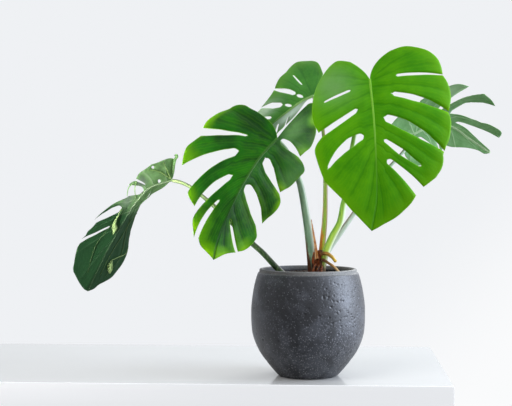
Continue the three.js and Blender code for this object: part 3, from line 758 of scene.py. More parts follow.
def make_sheath():
    rows, columns = 60, 13
    spine = smooth_path(SHEATH_PATH, rows)
    across = np.linspace(-1, 1, columns)
    t = np.linspace(0, 1, rows)
    half = along(SHEATH_HALF_WIDTHS, t)
    fray = 0.12 * np.sin(t * 60) + 0.08 * np.sin(t * 131)
    sheet = np.empty((rows, columns, 3))
    for k, a in enumerate(across):
        sheet[:, k, 0] = spine[:, 0] + a * (half + fray * abs(a))
        sheet[:, k, 1] = spine[:, 1] - 0.5 * math.cos(a * 1.4) + 0.25 * np.sin(t * 9 + a)
        sheet[:, k, 2] = spine[:, 2] + 0.6 * math.sin(a * 3)
    back = sheet + np.array((0, 0.45, 0))
    count = rows * columns
    points = np.vstack([sheet.reshape(-1, 3), back.reshape(-1, 3)]) * MM
    front = [f[::-1] for f in grid_faces(rows, columns)]
    faces = [f[::-1] for f in front] + [tuple(count + i for i in f) for f in front]
    loop = [k for k in range(columns)] + [i * columns + columns - 1 for i in range(1, rows)]
    loop += [(rows - 1) * columns + k for k in range(columns - 2, -1, -1)]
    loop += [i * columns for i in range(rows - 2, 0, -1)]
    faces += [(b, a, count + a, count + b) for a, b in zip(loop, loop[1:] + loop[:1])]
    return points, faces


finish = bark_finish("papery_sheath", "#a86428", "#d0985c", "#f0d8b0", 0.06)
sheath = add_mesh("papery_leaf_sheath", *make_sheath(), finish)
stand_for(sheath, "dry_sheath")


# --- The leaves: thin leathery blades, split from the margin and pierced beside the midrib ------------
# Each is drawn flat and then bent. On the flat, u runs down the midrib from the stalk and v runs out
# from it. A half is the notch at the stalk and a row of cuts, and its lobes are the margin between them.
# Spots of sheen and ripeness are a side, u, v, their reach along each, and how strong they are. Sheen
# spots are painted sheen, and on the far-left leaf painted grey shade. Ripeness spots turn the blade lime;
# on the front-left leaf one also lightens the right half as painted light, and a negative one darkens it.

BLADE_THICKNESS = 0.9
MIDRIB_RADII = [2.2, 1.9, 1.5, 1.1, 0.7]
STEPS_OUT = 46
# Where a lobe is sampled from one side to the other, closer beside the vein down its middle.
ACROSS_ONE_VEIN = [0, 0.13, 0.25, 0.35, 0.43, 0.475, 0.5, 0.525, 0.57, 0.65, 0.75, 0.87]


def cut(root, via, rim, span, half, hole=None):
    """A slot from the midrib at root, by way of via, to the margin at rim.

    It is open over span, as parts of that way, and half gives its half widths there. hole is a
    smaller opening on the same line: its middle and half length as parts of the way, and half width.
    """
    return {"root": root, "via": via, "rim": rim, "span": span, "half": half, "hole": hole}


LEAVES = {
    "front_right": {
        "length": 244,
        "pleat": 1.2,
        "wave": 0.5,
        "midrib": [(100, -60, 487), (106, -78, 421), (109, -92, 357), (110, -100, 294), (102, -104, 245)],
        "midrib_radii": [2.2, 1.7, 1.3, 0.9, 0.6],
        "facing": [(0, -1, 0.25), (0, -1, 0.25), (0, -1, 0.1)],
        "sheen": [("left", 5, 60, 30, 32, 0.9)],
        "left": {
            "fold": (8, 4),
            "curl": (-22, -14),
            "notch": [(0, 0), (-17, 7), (-32, 29)],
            "cuts": [
                cut(8, (18, 46), (39, 97), (0.36, 0.8), [1.6, 2, 1.2]),
                cut(34, (57, 38), (87, 87), (0.31, 1), [3.2, 4.4, 4.8]),
                cut(88, (97, 53), (157, 85), (0.18, 0.87), [5, 8, 6, 1.8]),
            ],
            "lobes": [
                [(-35, 42), (-35, 51), (-28, 62), (-16, 73), (-1, 84), (11, 90), (26, 95)],
                [(50, 98), (67, 96)],
                [(93, 86), (102, 93), (113, 97), (129, 94), (142, 90)],
                [(166, 81), (175, 74), (195, 58), (216, 40), (229, 22), (240, 6)],
            ],
        },
        "right": {
            "fold": (6, 4),
            "curl": (-18, -12),
            "notch": [(0, 0), (-28, 4), (-45, 37)],
            "cuts": [
                cut(5, (-8, 50), (0, 119), (0.4, 1), [2.2, 2.2, 0.8]),
                cut(21, (31, 66), (61, 121), (0.26, 1), [3.2, 5, 4, 0.8]),
                cut(60, (73, 50), (121, 109), (0.17, 1), [5.5, 8.5, 7, 0.8]),
                cut(90, (115, 33), (163, 93), (0.2, 0.8), [2.5, 5.2, 2.2]),
                cut(118, (142, 30), (181, 67), (0.29, 1), [4.5, 5.5, 7, 8]),
            ],
            "lobes": [
                [(-50, 54), (-51, 67), (-47, 86), (-40, 102), (-29, 113), (-15, 118)],
                [(12, 125), (26, 128), (39, 128), (50, 125)],
                [(73, 124), (88, 122), (103, 118), (114, 112)],
                [(124, 107), (136, 107), (150, 103)],
                [(170, 82)],
                [(195, 55), (205, 45), (218, 32), (230, 17), (238, 8)],
            ],
        },
    },
    "front_left": {
        "length": 232,
        "pleat": 1.6,
        "wave": 0.8,
        "midrib": [(-49, -55, 393), (-76, -75, 362), (-102, -95, 319), (-123, -110, 275), (-141, -122, 225),
                   (-146, -126, 200)],
        "facing": [(-0.1, -1, 0.45), (0.1, -1, 0.2), (0.1, -1, 0)],
        "ripe": [
            ("left", 44, 112, 22, 14, 0.95), ("left", 18, 106, 30, 10, 0.6), ("left", 2, 52, 26, 30, -1),
            ("left", 101, 103, 20, 22, 0.68), ("left", 152, 68, 14, 14, 0.68),
            ("left", 194, 44, 14, 12, 0.9), ("left", 226, 12, 24, 30, 0.9),
            ("right", 57, 69, 18, 15, 1.2), ("right", -19, 50, 15, 13, 1.3),
            ("right", -72, 24, 14, 9, 1.1), ("right", 78, 86, 20, 12, 0.95),
            ("right", 140, 74, 20, 10, 0.8), ("right", 192, 58, 24, 16, 0.9),
            ("right", 222, 10, 20, 26, 0.85), ("left", 200, 30, 45, 40, 0.4),
            # The broad spot at u 120 lightens the right half, which faces away from the front lamp: painted
            # light.
            ("right", 195, 40, 45, 35, 0.4), ("right", 120, 45, 80, 40, 0.35),
        ],
        "sheen": [
            ("right", 25, 70, 30, 22, 0.5), ("right", -35, 12, 30, 16, 0.9),
            ("right", -20, 38, 30, 25, 0.45),
        ],
        "left": {
            "fold": (5, 3),
            "curl": (-10, -8),
            "notch": [(0, 0), (-20, 16), (-21, 56)],
            "cuts": [
                cut(10, (31, 48), (58, 103), (0.4, 1), [1.5, 2.5, 4.5, 6.5]),
                cut(33, (63, 56), (125, 84), (0.34, 1), [6, 9, 13, 17]),
                cut(66, (118, 42), (165, 49), (0.3, 1), [4, 6.5, 6, 4.5]),
                cut(100, (150, 34), (206, 34), (0.4, 1), [1.5, 3.5, 4, 3.6]),
            ],
            "lobes": [
                [(-20, 72), (-20, 83), (-15, 91), (-6, 97), (10, 102), (29, 107), (42, 109)],
                [(73, 104), (87, 109), (103, 106)],
                [(142, 71), (149, 72), (156, 66)],
                [(178, 49), (187, 47), (195, 43)],
                [(214, 25), (222, 13)],
            ],
            "bend": {3: (0, 0, -10)},
        },
        "right": {
            "fold": (-40, -38),
            "curl": (-16, -14),
            "notch": [(0, 0), (-42, -4), (-84, -1)],
            "cuts": [
                cut(2, (-12, 26), (-11, 51), (0.14, 1), [5, 7, 5, 1.5]),
                cut(36, (52, 32), (63, 71), (0.13, 1), [8, 10, 5, 0.8]),
                cut(96, (107, 34), (138, 72), (0.1, 1), [8, 12, 13, 9]),
                cut(150, (181, 24), (207, 46), (0.18, 1), [1.8, 2.8, 3.2, 3]),
            ],
            "lobes": [
                [(-92, 3), (-84, 12), (-72, 24), (-67, 39), (-57, 47), (-39, 54), (-25, 52)],
                [(-9, 66), (-4, 75), (7, 77), (34, 78), (50, 75)],
                [(72, 83), (83, 88), (100, 87), (116, 82)],
                [(153, 74), (162, 80), (174, 78), (188, 70), (199, 59)],
                [(219, 21), (227, 8)],
            ],
            "bend": {2: (0, 0, -6)},
        },
    },
    "back": {
        "length": 150,
        "pleat": 1.6,
        "wave": 0.8,
        "midrib": [(8, 10, 466), (-10, 2, 457), (-30, -6, 442), (-51, -14, 425), (-76, -18, 401),
                   (-102, -18, 375)],
        "facing": [(-0.35, -0.85, 0.45), (-0.35, -0.85, 0.35)],
        "sheen": [("right", 35, 14, 44, 16, 1), ("left", 80, 30, 25, 12, 0.5)],
        "left": {
            "fold": (6, 5),
            "curl": (-14, -8),
            "notch": [(0, 0), (-20, 10), (-42, 33)],
            "cuts": [
                cut(1, (1, 38), (4, 75), (0.43, 0.78), [1.4, 2, 1.4]),
                cut(15, (24, 28), (39, 53), (0.36, 1), [3.4, 4.5, 4, 2], (0.2, 0.1, 3)),
                cut(40, (48, 20), (80, 39), (0.43, 1), [4.5, 6.5, 1], (0.22, 0.12, 3)),
                cut(72, (84, 14), (108, 36), (0.33, 1), [2.5, 3, 3]),
                cut(104, (118, 12), (138, 26), (0.4, 1), [2, 3, 3]),
            ],
            "lobes": [
                [(-49, 54), (-50, 63), (-45, 73), (-34, 81), (-22, 85), (-10, 82)],
                [(9, 72), (20, 68), (28, 62)],
                [(49, 48), (62, 44)],
                [(97, 37)],
                [(118, 34), (128, 30)],
                [(146, 14)],
            ],
        },
        "right": {
            "fold": (-104, -100),
            "curl": (-8, -6),
            "notch": [(0, 0), (6, 2), (13, 7)],
            "cuts": [
                cut(46, (54, 18), (60, 39), (0.5, 1), [0.8, 1.2, 1.6]),
                cut(68, (78, 20), (94, 44), (0.4, 1), [2, 3, 4]),
            ],
            "lobes": [
                [(17, 12), (24, 22), (32, 30), (42, 34)],
                [(66, 41), (80, 42)],
                [(108, 40), (126, 32), (142, 14)],
            ],
        },
    },
    "back_right": {
        "length": 185,
        "pleat": 1.2,
        "wave": 0.4,
        "midrib": [(178, 60, 404), (207, 70, 416), (244, 84, 418), (278, 98, 397), (315, 112, 373)],
        "facing": [(0, 0.75, 0.65), (0.1, 0.75, 0.6), (0.3, 0.75, 0.5)],
        "sheen": [("left", 55, 84, 20, 25, 0.8)],
        "left": {
            "fold": (0, 0),
            "curl": (-20, -15),
            "notch": [(0, 0), (-16, -2), (-50, 14)],
            "cuts": [
                cut(2, (0, 30), (14, 70), (0.4, 1), [2, 3, 5]),
                cut(16, (62, 42), (80, 97), (0.34, 1), [2.5, 5, 6, 8]),
                cut(40, (97, 54), (118, 65), (0.3, 1), [3, 16, 22, 23]),
                cut(66, (100, 24), (170, 19), (0.28, 1), [2, 5, 11, 17]),
            ],
            "lobes": [
                [(-50, 28), (-38, 46), (-14, 62)],
                [(40, 82), (52, 98), (61, 103)],
                [(88, 94), (97, 91)],
                [(146, 49), (161, 50), (169, 46)],
                [(179, 4)],
            ],
        },
        "right": {
            "fold": (-20, -20),
            "curl": (-25, -15),
            "notch": [(0, 0), (-16, 4), (-24, 18)],
            "cuts": [
                cut(6, (12, 26), (24, 44), (0.2, 1), [4, 9, 14, 24]),
                cut(36, (48, 20), (66, 48), (0.4, 1), [1.5, 2, 2]),
                cut(62, (80, 16), (98, 36), (0.3, 1), [1.5, 2, 2]),
            ],
            "lobes": [
                [(-25, 30), (-18, 46), (-8, 56)],
                [(56, 48)],
                [(74, 48), (88, 43)],
                [(114, 31), (135, 18), (161, 9), (178, 7)],
            ],
        },
    },
    "far_left": {
        "length": 262,
        "pleat": 1.2,
        "wave": 0.8,
        "midrib": [(-232, 20, 325), (-265, 0, 313), (-288, -10, 287), (-312, -12, 249), (-337, -8, 205),
                   (-371, 0, 138)],
        "midrib_radii": [2.0, 1.1, 0.5, 0.4, 0.3],
        "facing": [(-0.1, 0.75, 0.6), (-0.3, 0.8, 0.5), (-0.45, 0.8, 0.35), (-0.5, 0.8, 0.2),
                   (-0.5, 0.8, 0.1)],
        "sheen": [("right", 50, 16, 9, 9, 0.9), ("right", 84, 14, 12, 7, 0.7)],
        "lines": [
            ("right", [(0, 3), (6, 20), (13, 36)], [1, 0.8, 0.4], 1, 1, 1),
            ("right", [(0, 3), (20, 20), (37, 30)], [1, 0.8, 0.4], 1, 1, 1),
            ("right", [(54, 24), (65, 15), (74, 5)], [0.9, 0.8, 0.5], 0.6, 0.5, 0.9),
            ("right", [(58, 24), (67, 26), (81, 19)], [0.9, 0.8, 0.5], 0.6, 0.3, 0.9),
            ("right", [(102, 16), (116, 15), (129, 14), (138, 9), (149, 6)],
             [0.4, 0.8, 1.8, 4.8, 0.2], 0.2, 0.75, 4),
            ("left", [(171, 59), (182, 56), (190, 38), (198, 21)], [0.4, 0.6, 0.5], 0.8, 0.7, 0.9),
            ("left", [(194, 22), (201, 22), (211, 25), (222, 33)], [0.4, 4.6, 5, 0.2], 0.2, 0.75, 4),
            ("left", [(96, 31), (118, 24), (148, 21), (181, 14), (228, 11)],
             [0.4, 0.6, 0.5, 0.3], 1, 0.25, 0.7),
            ("left", [(70, 16), (110, 16), (150, 34), (190, 44), (230, 26)],
             [0.3, 0.6, 0.6, 0.3], 1, 0.18, 0.6),
            ("right", [(96, 8), (140, 16), (180, 22), (230, 14)], [0.3, 0.6, 0.6, 0.3], 1, 0.15, 0.6),
        ],
        "curls": [
            ([(-228, 17.5, 336), (-226.5, 14, 350), (-224, 11, 360), (-220.5, 9.5, 365), (-221.5, 9, 367.5),
              (-224, 9, 366)], [1.2, 2, 2.2, 2.4, 2.2, 1.8], 0.8, 0.1, 0.3),
        ],
        "left": {
            "fold": [24, 30, 38, 36, 30, 26, 24],
            "curl": (10, 10),
            "notch": [(0, 0), (1, 3), (4, 10)],
            "cuts": [
                cut(24, (36, 24), (60, 27), (0.5, 0.9), [0.8, 1.5, 0.8]),
            ],
            "lobes": [
                [(10, 20), (22, 33), (42, 32)],
                [(72, 23), (85, 22), (99, 26), (116, 36), (134, 44), (155, 52), (175, 61), (188, 62),
                 (203, 59), (217, 52), (230, 44), (239, 31), (247, 19), (256, 12)],
            ],
        },
        "right": {
            "fold": (20, 10),
            "curl": (-10, -8),
            "notch": [(0, 0), (-10, 6), (-11, 36)],
            "cuts": [
                cut(22, (27, 16), (31, 37), (0.8, 0.93), [1.4, 1.8, 1.4], (0.13, 0.1, 2.6)),
                cut(44, (48, 12), (54, 26), (0.35, 1), [0.8, 1.2, 1.6]),
                cut(53, (63, 12), (72, 22), (0.12, 1), [5, 7, 8, 9]),
                cut(80, (108, 22), (142, 42), (0.35, 1), [5, 6, 5, 3]),
                cut(118, (146, 22), (181, 46), (0.35, 1), [1.2, 1.5, 2.5, 3.5]),
            ],
            "lobes": [
                [(-6, 39), (0, 40), (13, 39), (24, 37)],
                [(38, 33), (46, 31)],
                [(59, 27)],
                [(87, 20), (95, 26), (108, 33), (122, 39)],
                [(154, 42), (163, 45), (171, 45)],
                [(187, 48), (192, 49), (208, 46), (223, 42), (235, 39), (242, 32), (255, 17), (262, 5)],
            ],
        },
    },
}


def flat_curve(a, b, c, t):
    t = np.asarray(t, float)[..., None]
    a, b, c = (np.asarray(p, float) for p in (a, b, c))
    return (1 - t) ** 2 * a + 2 * t * (1 - t) * b + t * t * c


def cut_half_width(slot, r):
    start, end = slot["span"]
    length = math.hypot(slot["rim"][0] - slot["root"], slot["rim"][1])
    width = along(slot["half"], np.clip((r - start) / (end - start), 0, 1))

    def rounded(gap, radius):
        return np.sqrt(1 - (1 - np.clip(gap / radius, 0, 1)) ** 2)

    width = width * rounded((r - start) * length, slot["half"][0])
    if end < 1:
        width = width * rounded((end - r) * length, slot["half"][-1])
    if slot["hole"]:
        middle, reach, half = slot["hole"]
        width = np.maximum(width, half * np.sqrt(np.clip(1 - ((r - middle) / reach) ** 2, 0, 1)))
    return width


def cut_edges(slot, r):
    """Both edges of a cut at r, first the one nearer the stalk."""
    line = ((slot["root"], 0), slot["via"], slot["rim"])
    centre = flat_curve(*line, r)
    heading = flat_curve(*line, r + 0.001) - centre
    heading /= np.linalg.norm(heading, axis=-1, keepdims=True)
    across = np.stack([-heading[:, 1], heading[:, 0]], -1) * cut_half_width(slot, r)[:, None]
    return centre + across, centre - across


def lobe_grid(half, length, i):
    """One lobe as a grid of flat points, from the midrib out and from its near to its far side."""
    r = np.linspace(0, 1, STEPS_OUT + 1)
    cuts = half["cuts"]
    last = i == len(cuts)
    start = 0 if i == 0 else cuts[i - 1]["root"]
    end = start + 0.3 * (length - start) if last else cuts[i]["root"]
    near = flat_curve(*half["notch"], r) if i == 0 else cut_edges(cuts[i - 1], r)[1]
    far = np.stack([end + (length - end) * r, 0 * r], -1) if last else cut_edges(cuts[i], r)[0]
    margin = [near[-1], *half["lobes"][i], far[-1]]
    size = np.linalg.norm(np.diff(np.array(margin, float), axis=0), axis=1).sum()
    veins = max(1, round(size / 42))
    q = np.array([(k + s) / veins for k in range(veins) for s in ACROSS_ONE_VEIN] + [1.0])
    edge = smooth_path(margin, 400)
    edge = np.stack([np.interp(q, np.linspace(0, 1, 400), edge[:, k]) for k in (0, 1)], -1)
    rib = np.stack([start + (end - start) * q, 0 * q], -1)
    q2, r2 = q[None, :, None], r[:, None, None]
    sides = (1 - q2) * near[:, None] + q2 * far[:, None]
    ends = (1 - r2) * rib[None] + r2 * edge[None]
    corners = (1 - r2) * ((1 - q2) * near[0] + q2 * far[0]) + r2 * ((1 - q2) * near[-1] + q2 * far[-1])
    flat = sides + ends - corners
    width = np.linalg.norm(flat[:, -1] - flat[:, 0], axis=-1)[:, None]
    vein = np.abs((q[None] * veins) % 1 - 0.5) / veins * width
    vein[:, -1] = vein[:, 0]
    reach = np.cumsum(np.r_[np.zeros((1, len(q))), np.linalg.norm(np.diff(flat, axis=0), axis=-1)], axis=0)
    left = reach[-1] - reach
    return flat, np.broadcast_to(q, vein.shape), np.broadcast_to(r[:, None], vein.shape), vein, reach, left


def ease_in(x):
    t = np.clip(x, 0, 1)
    return t * t * (3 - 2 * t)


def lobe_bend(half, i, q, r):
    """How far lobe i is bent along, out and off the blade. Lobes that are joined share their bends."""
    bends = half.get("bend", {})
    own = np.array(bends.get(i, (0, 0, 0)), float)
    cuts = half["cuts"]
    if i == len(cuts):
        return own * ((1 - q) * r * r)[..., None]
    shared = np.zeros(q.shape + (3,)) + own
    for side, other, slot in ((q < 0.5, i - 1, i - 1), (q >= 0.5, i + 1, i)):
        if other < 0:
            continue
        start, end = cuts[slot]["span"]
        is_open = ease_in((r - start) / 0.25) * (ease_in((end - r) / 0.12) if end < 1 else 1)
        both = (own + np.array(bends.get(other, (0, 0, 0)), float)) / 2
        shared = np.where(side[..., None], both + (own - both) * is_open[..., None], shared)
    return (own + (shared - own) * ((2 * q - 1) ** 2)[..., None]) * (r * r)[..., None]


def glide(values, t):
    """Like along, but rounds the corners between the numbers."""
    values = np.asarray(values, float)
    if len(values) < 3:
        return along(values, t)
    dense = smooth_path(np.stack([np.arange(len(values)) * 100.0, values], -1), 300)
    return np.interp(t, dense[:, 0] / dense[-1, 0], dense[:, 1])


def bent_place(leaf, half, hand, u, v, rise):
    """Takes flat points to their places in the bent leaf, in millimetres."""
    spine = smooth_path(leaf["midrib"], 500)
    tangents = np.gradient(spine, axis=0)
    tangents /= np.linalg.norm(tangents, axis=1, keepdims=True)
    t = np.clip(u / leaf["length"], 0, 1)
    steps = np.linspace(0, 1, 500)

    def read(rows):
        return np.stack([np.interp(t, steps, rows[:, k]) for k in range(3)], -1)

    place, tangent = read(spine), read(tangents)
    facing = np.stack([glide([f[k] for f in leaf["facing"]], t) for k in range(3)], -1)
    facing -= (facing * tangent).sum(-1, keepdims=True) * tangent
    facing /= np.linalg.norm(facing, axis=-1, keepdims=True)
    outward = np.cross(facing, tangent) * hand
    fold = np.radians(glide(half["fold"], t))
    curl = np.radians(glide(half["curl"], t)) / 100
    reach = (np.sin(fold + curl * v) - np.sin(fold)) / curl
    lift = (np.cos(fold) - np.cos(fold + curl * v)) / curl + rise
    beyond = u - t * leaf["length"]
    return place + outward * reach[..., None] + facing * lift[..., None] + tangent * beyond[..., None]


def nearest_edge(flat, rims):
    """Distance from each flat point to the nearest of the margin's points."""
    gaps = np.empty(len(flat))
    for i in range(0, len(flat), 2000):
        part = flat[i:i + 2000]
        gaps[i:i + 2000] = np.sqrt(((part[:, None] - rims[None]) ** 2).sum(-1)).min(1)
    return gaps


def leaf_numbers(count, **known):
    """What the finish reads at each point. What isn't known is set as on a plain part of the blade."""
    plain = {
        "rib_gap": 20.0, "vein_gap": 20.0, "edge_gap": 30.0, "reach": 0.0, "rim_gap": 90.0, "sheen": 0.0,
        "ripe": 0.0, "tipward": 0.0, "streak": 0.0, "under": 0.0,
    }
    return {name: np.broadcast_to(values, count) for name, values in {**plain, **known}.items()}


def half_blade(leaf, hand, seed):
    """One half as a closed sheet: its points, its faces and the numbers its finish reads."""
    half = leaf["left" if hand < 0 else "right"]
    flat, place, vein, reach, rim, faces = [], [], [], [], [], []
    seen = {}
    for i in range(len(half["cuts"]) + 1):
        grid, q, r, gap, far, left = lobe_grid(half, leaf["length"], i)
        bend = lobe_bend(half, i, q, r)
        u, v = grid[..., 0] + bend[..., 0], grid[..., 1] + bend[..., 1]
        numbers = np.empty(q.shape, int)
        for j, k in np.ndindex(q.shape):
            key = (round(grid[j, k, 0], 3), round(grid[j, k, 1], 3))
            if key not in seen:
                seen[key] = len(flat)
                flat.append(grid[j, k])
                place.append((u[j, k], v[j, k], bend[j, k, 2]))
                vein.append(gap[j, k])
                reach.append(far[j, k])
                rim.append(left[j, k])
            numbers[j, k] = seen[key]
        for j in range(q.shape[0] - 1):
            for k in range(q.shape[1] - 1):
                ring = [numbers[j, k], numbers[j + 1, k], numbers[j + 1, k + 1], numbers[j, k + 1]]
                ring = [n for m, n in enumerate(ring) if n != ring[m - 1]]
                if len(ring) > 2:
                    faces.append(ring if hand < 0 else ring[::-1])
    flat, place = np.array(flat), np.array(place)
    vein, reach = np.array(vein), np.array(reach)

    once = {}
    for ring in faces:
        for a, b in zip(ring, ring[1:] + ring[:1]):
            if (b, a) in once:
                del once[b, a]
            else:
                once[a, b] = True
    rim_points = sorted({a for a, b in once if flat[a][1] > 1e-3 or flat[b][1] > 1e-3})
    edge = nearest_edge(flat, flat[rim_points])

    pleat = leaf["pleat"] * (1 - np.exp(-(vein / 7) ** 2)) * ease_in(flat[:, 1] / 18) * ease_in(edge / 14)
    phase = np.random.default_rng(seed).uniform(0, 6.28, 4)
    along_u, out_v = place[:, 0], place[:, 1]
    wave = np.sin(along_u / 11 + phase[0]) * np.sin(out_v / 13 + phase[1])
    wave += 0.6 * np.sin((along_u + out_v) / 6.5 + phase[2])
    rise = place[:, 2] + pleat + leaf["wave"] * wave * np.exp(-edge / 9) * ease_in(flat[:, 1] / 12)
    middle = bent_place(leaf, half, hand, along_u, out_v, rise)

    normals = np.zeros_like(middle)
    for ring in faces:
        normal = np.cross(middle[ring[1]] - middle[ring[0]], middle[ring[2]] - middle[ring[0]])
        for n in ring:
            normals[n] += normal
    normals /= np.maximum(np.linalg.norm(normals, axis=1, keepdims=True), 1e-9)
    fade = np.clip(1 - reach / 120, 0.25, 1) * ease_in(edge / 6)
    groove = 0.22 * np.exp(-(vein / 1.3) ** 2) * fade
    ridge = 0.5 * np.exp(-(vein / 1.1) ** 2) * fade
    thin = 0.35 + 0.65 * ease_in(edge / 2.5)
    top = middle + normals * (BLADE_THICKNESS / 2 * thin - groove)[:, None]
    under = middle - normals * (BLADE_THICKNESS / 2 * thin + ridge)[:, None]
    count = len(flat)
    sheet = [tuple(ring) for ring in faces]
    sheet += [tuple(count + n for n in ring[::-1]) for ring in faces]
    sheet += [(b, a, count + a, count + b) for a, b in once]
    sheen = np.zeros(count)
    ripe = np.zeros(count)
    for values, spots in ((sheen, leaf["sheen"]), (ripe, leaf.get("ripe", []))):
        for side, u, v, reach_u, reach_v, amount in spots:
            if side == ("left" if hand < 0 else "right"):
                spot = np.exp(-((flat[:, 0] - u) / reach_u) ** 2 - ((flat[:, 1] - v) / reach_v) ** 2)
                values[:] = np.where(np.abs(amount * spot) > np.abs(values), amount * spot, values)
    numbers = leaf_numbers(
        count, rib_gap=np.where(flat[:, 0] < 0, np.hypot(flat[:, 0], flat[:, 1]), flat[:, 1]),
        vein_gap=vein, edge_gap=edge, reach=reach, rim_gap=np.array(rim), sheen=sheen, ripe=ripe,
        tipward=np.clip(flat[:, 0] / leaf["length"], 0, 1))
    numbers = {name: np.r_[values, values] for name, values in numbers.items()}
    numbers["under"] = np.r_[np.zeros(count), np.ones(count)]
    return np.vstack([top, under]) * MM, sheet, numbers


def midrib_rod(leaf):
    """The midrib: stout at the stalk and fine at the tip, proud of the under side."""
    spine = np.asarray(leaf["midrib"], float)
    facing = glide_rows(leaf["facing"], len(spine))
    path = spine - 0.55 * facing
    radii = leaf.get("midrib_radii", MIDRIB_RADII)
    sides = 12
    points, faces, t = sweep(path, lambda t, angle: along(radii, t), sides, 90)
    t = np.r_[np.repeat(t, sides), 0, 1]
    points = np.array(points)
    dense = smooth_path(path, 400)
    at = np.stack([np.interp(t, np.linspace(0, 1, 400), dense[:, k]) for k in range(3)], -1)
    face = np.stack([np.interp(t, np.linspace(0, 1, len(facing)), facing[:, k]) for k in range(3)], -1)
    under = np.where(((points / MM - at) * face).sum(-1) < 0, 1.0, 0.0)
    return points, faces, leaf_numbers(len(points), rib_gap=0.0, tipward=t, under=under)


def raised_line(leaf, side, flat_points, radii, flatness, streak, lift):
    """A narrow strip or raised vein that runs over the under side by way of the flat points."""
    flat = smooth_path([(u, v, 0) for u, v in flat_points], 40)
    hand = -1 if side == "left" else 1
    path = bent_place(leaf, leaf[side], hand, flat[:, 0], flat[:, 1], np.full(40, -lift))
    return strip(path, radii, flatness, streak, flat[:, 0].mean() / leaf["length"])


def strip(path, radii, flatness, streak, tipward):
    """A rod pressed flat, with the finish of the under side."""
    def radius(t, angle):
        return along(radii, t) / np.sqrt(np.cos(angle) ** 2 + (np.sin(angle) / flatness) ** 2)

    points, faces, _ = sweep(path, radius, 8, 48)
    return np.array(points), faces, leaf_numbers(len(points), tipward=tipward, under=1.0, streak=streak)


def glide_rows(rows, count):
    rows = np.asarray(rows, float)
    t = np.linspace(0, 1, count)
    read = np.stack([glide(rows[:, k], t) for k in range(3)], -1)
    return read / np.linalg.norm(read, axis=1, keepdims=True)


def make_leaf(place, seed):
    leaf = LEAVES[place]
    points, faces, numbers = [], [], {}
    parts = [half_blade(leaf, -1, seed), half_blade(leaf, 1, seed), midrib_rod(leaf)]
    parts += [raised_line(leaf, *line) for line in leaf.get("lines", [])]
    parts += [strip(*curl) for curl in leaf.get("curls", [])]
    for more, sheet, more_numbers in parts:
        start = sum(len(p) for p in points)
        points.append(more)
        faces += [tuple(start + n for n in f) for f in sheet]
        for name, values in more_numbers.items():
            numbers.setdefault(name, []).append(values)
    finish = leaf_finish(place, **LEAF_COLOURS[place])
    piece = add_mesh(f"split_leaf_{place}", np.vstack(points), faces, finish)
    for name, values in numbers.items():
        set_number(piece, name, np.concatenate(values))
    stand_for(piece, f"leaf_{place}")


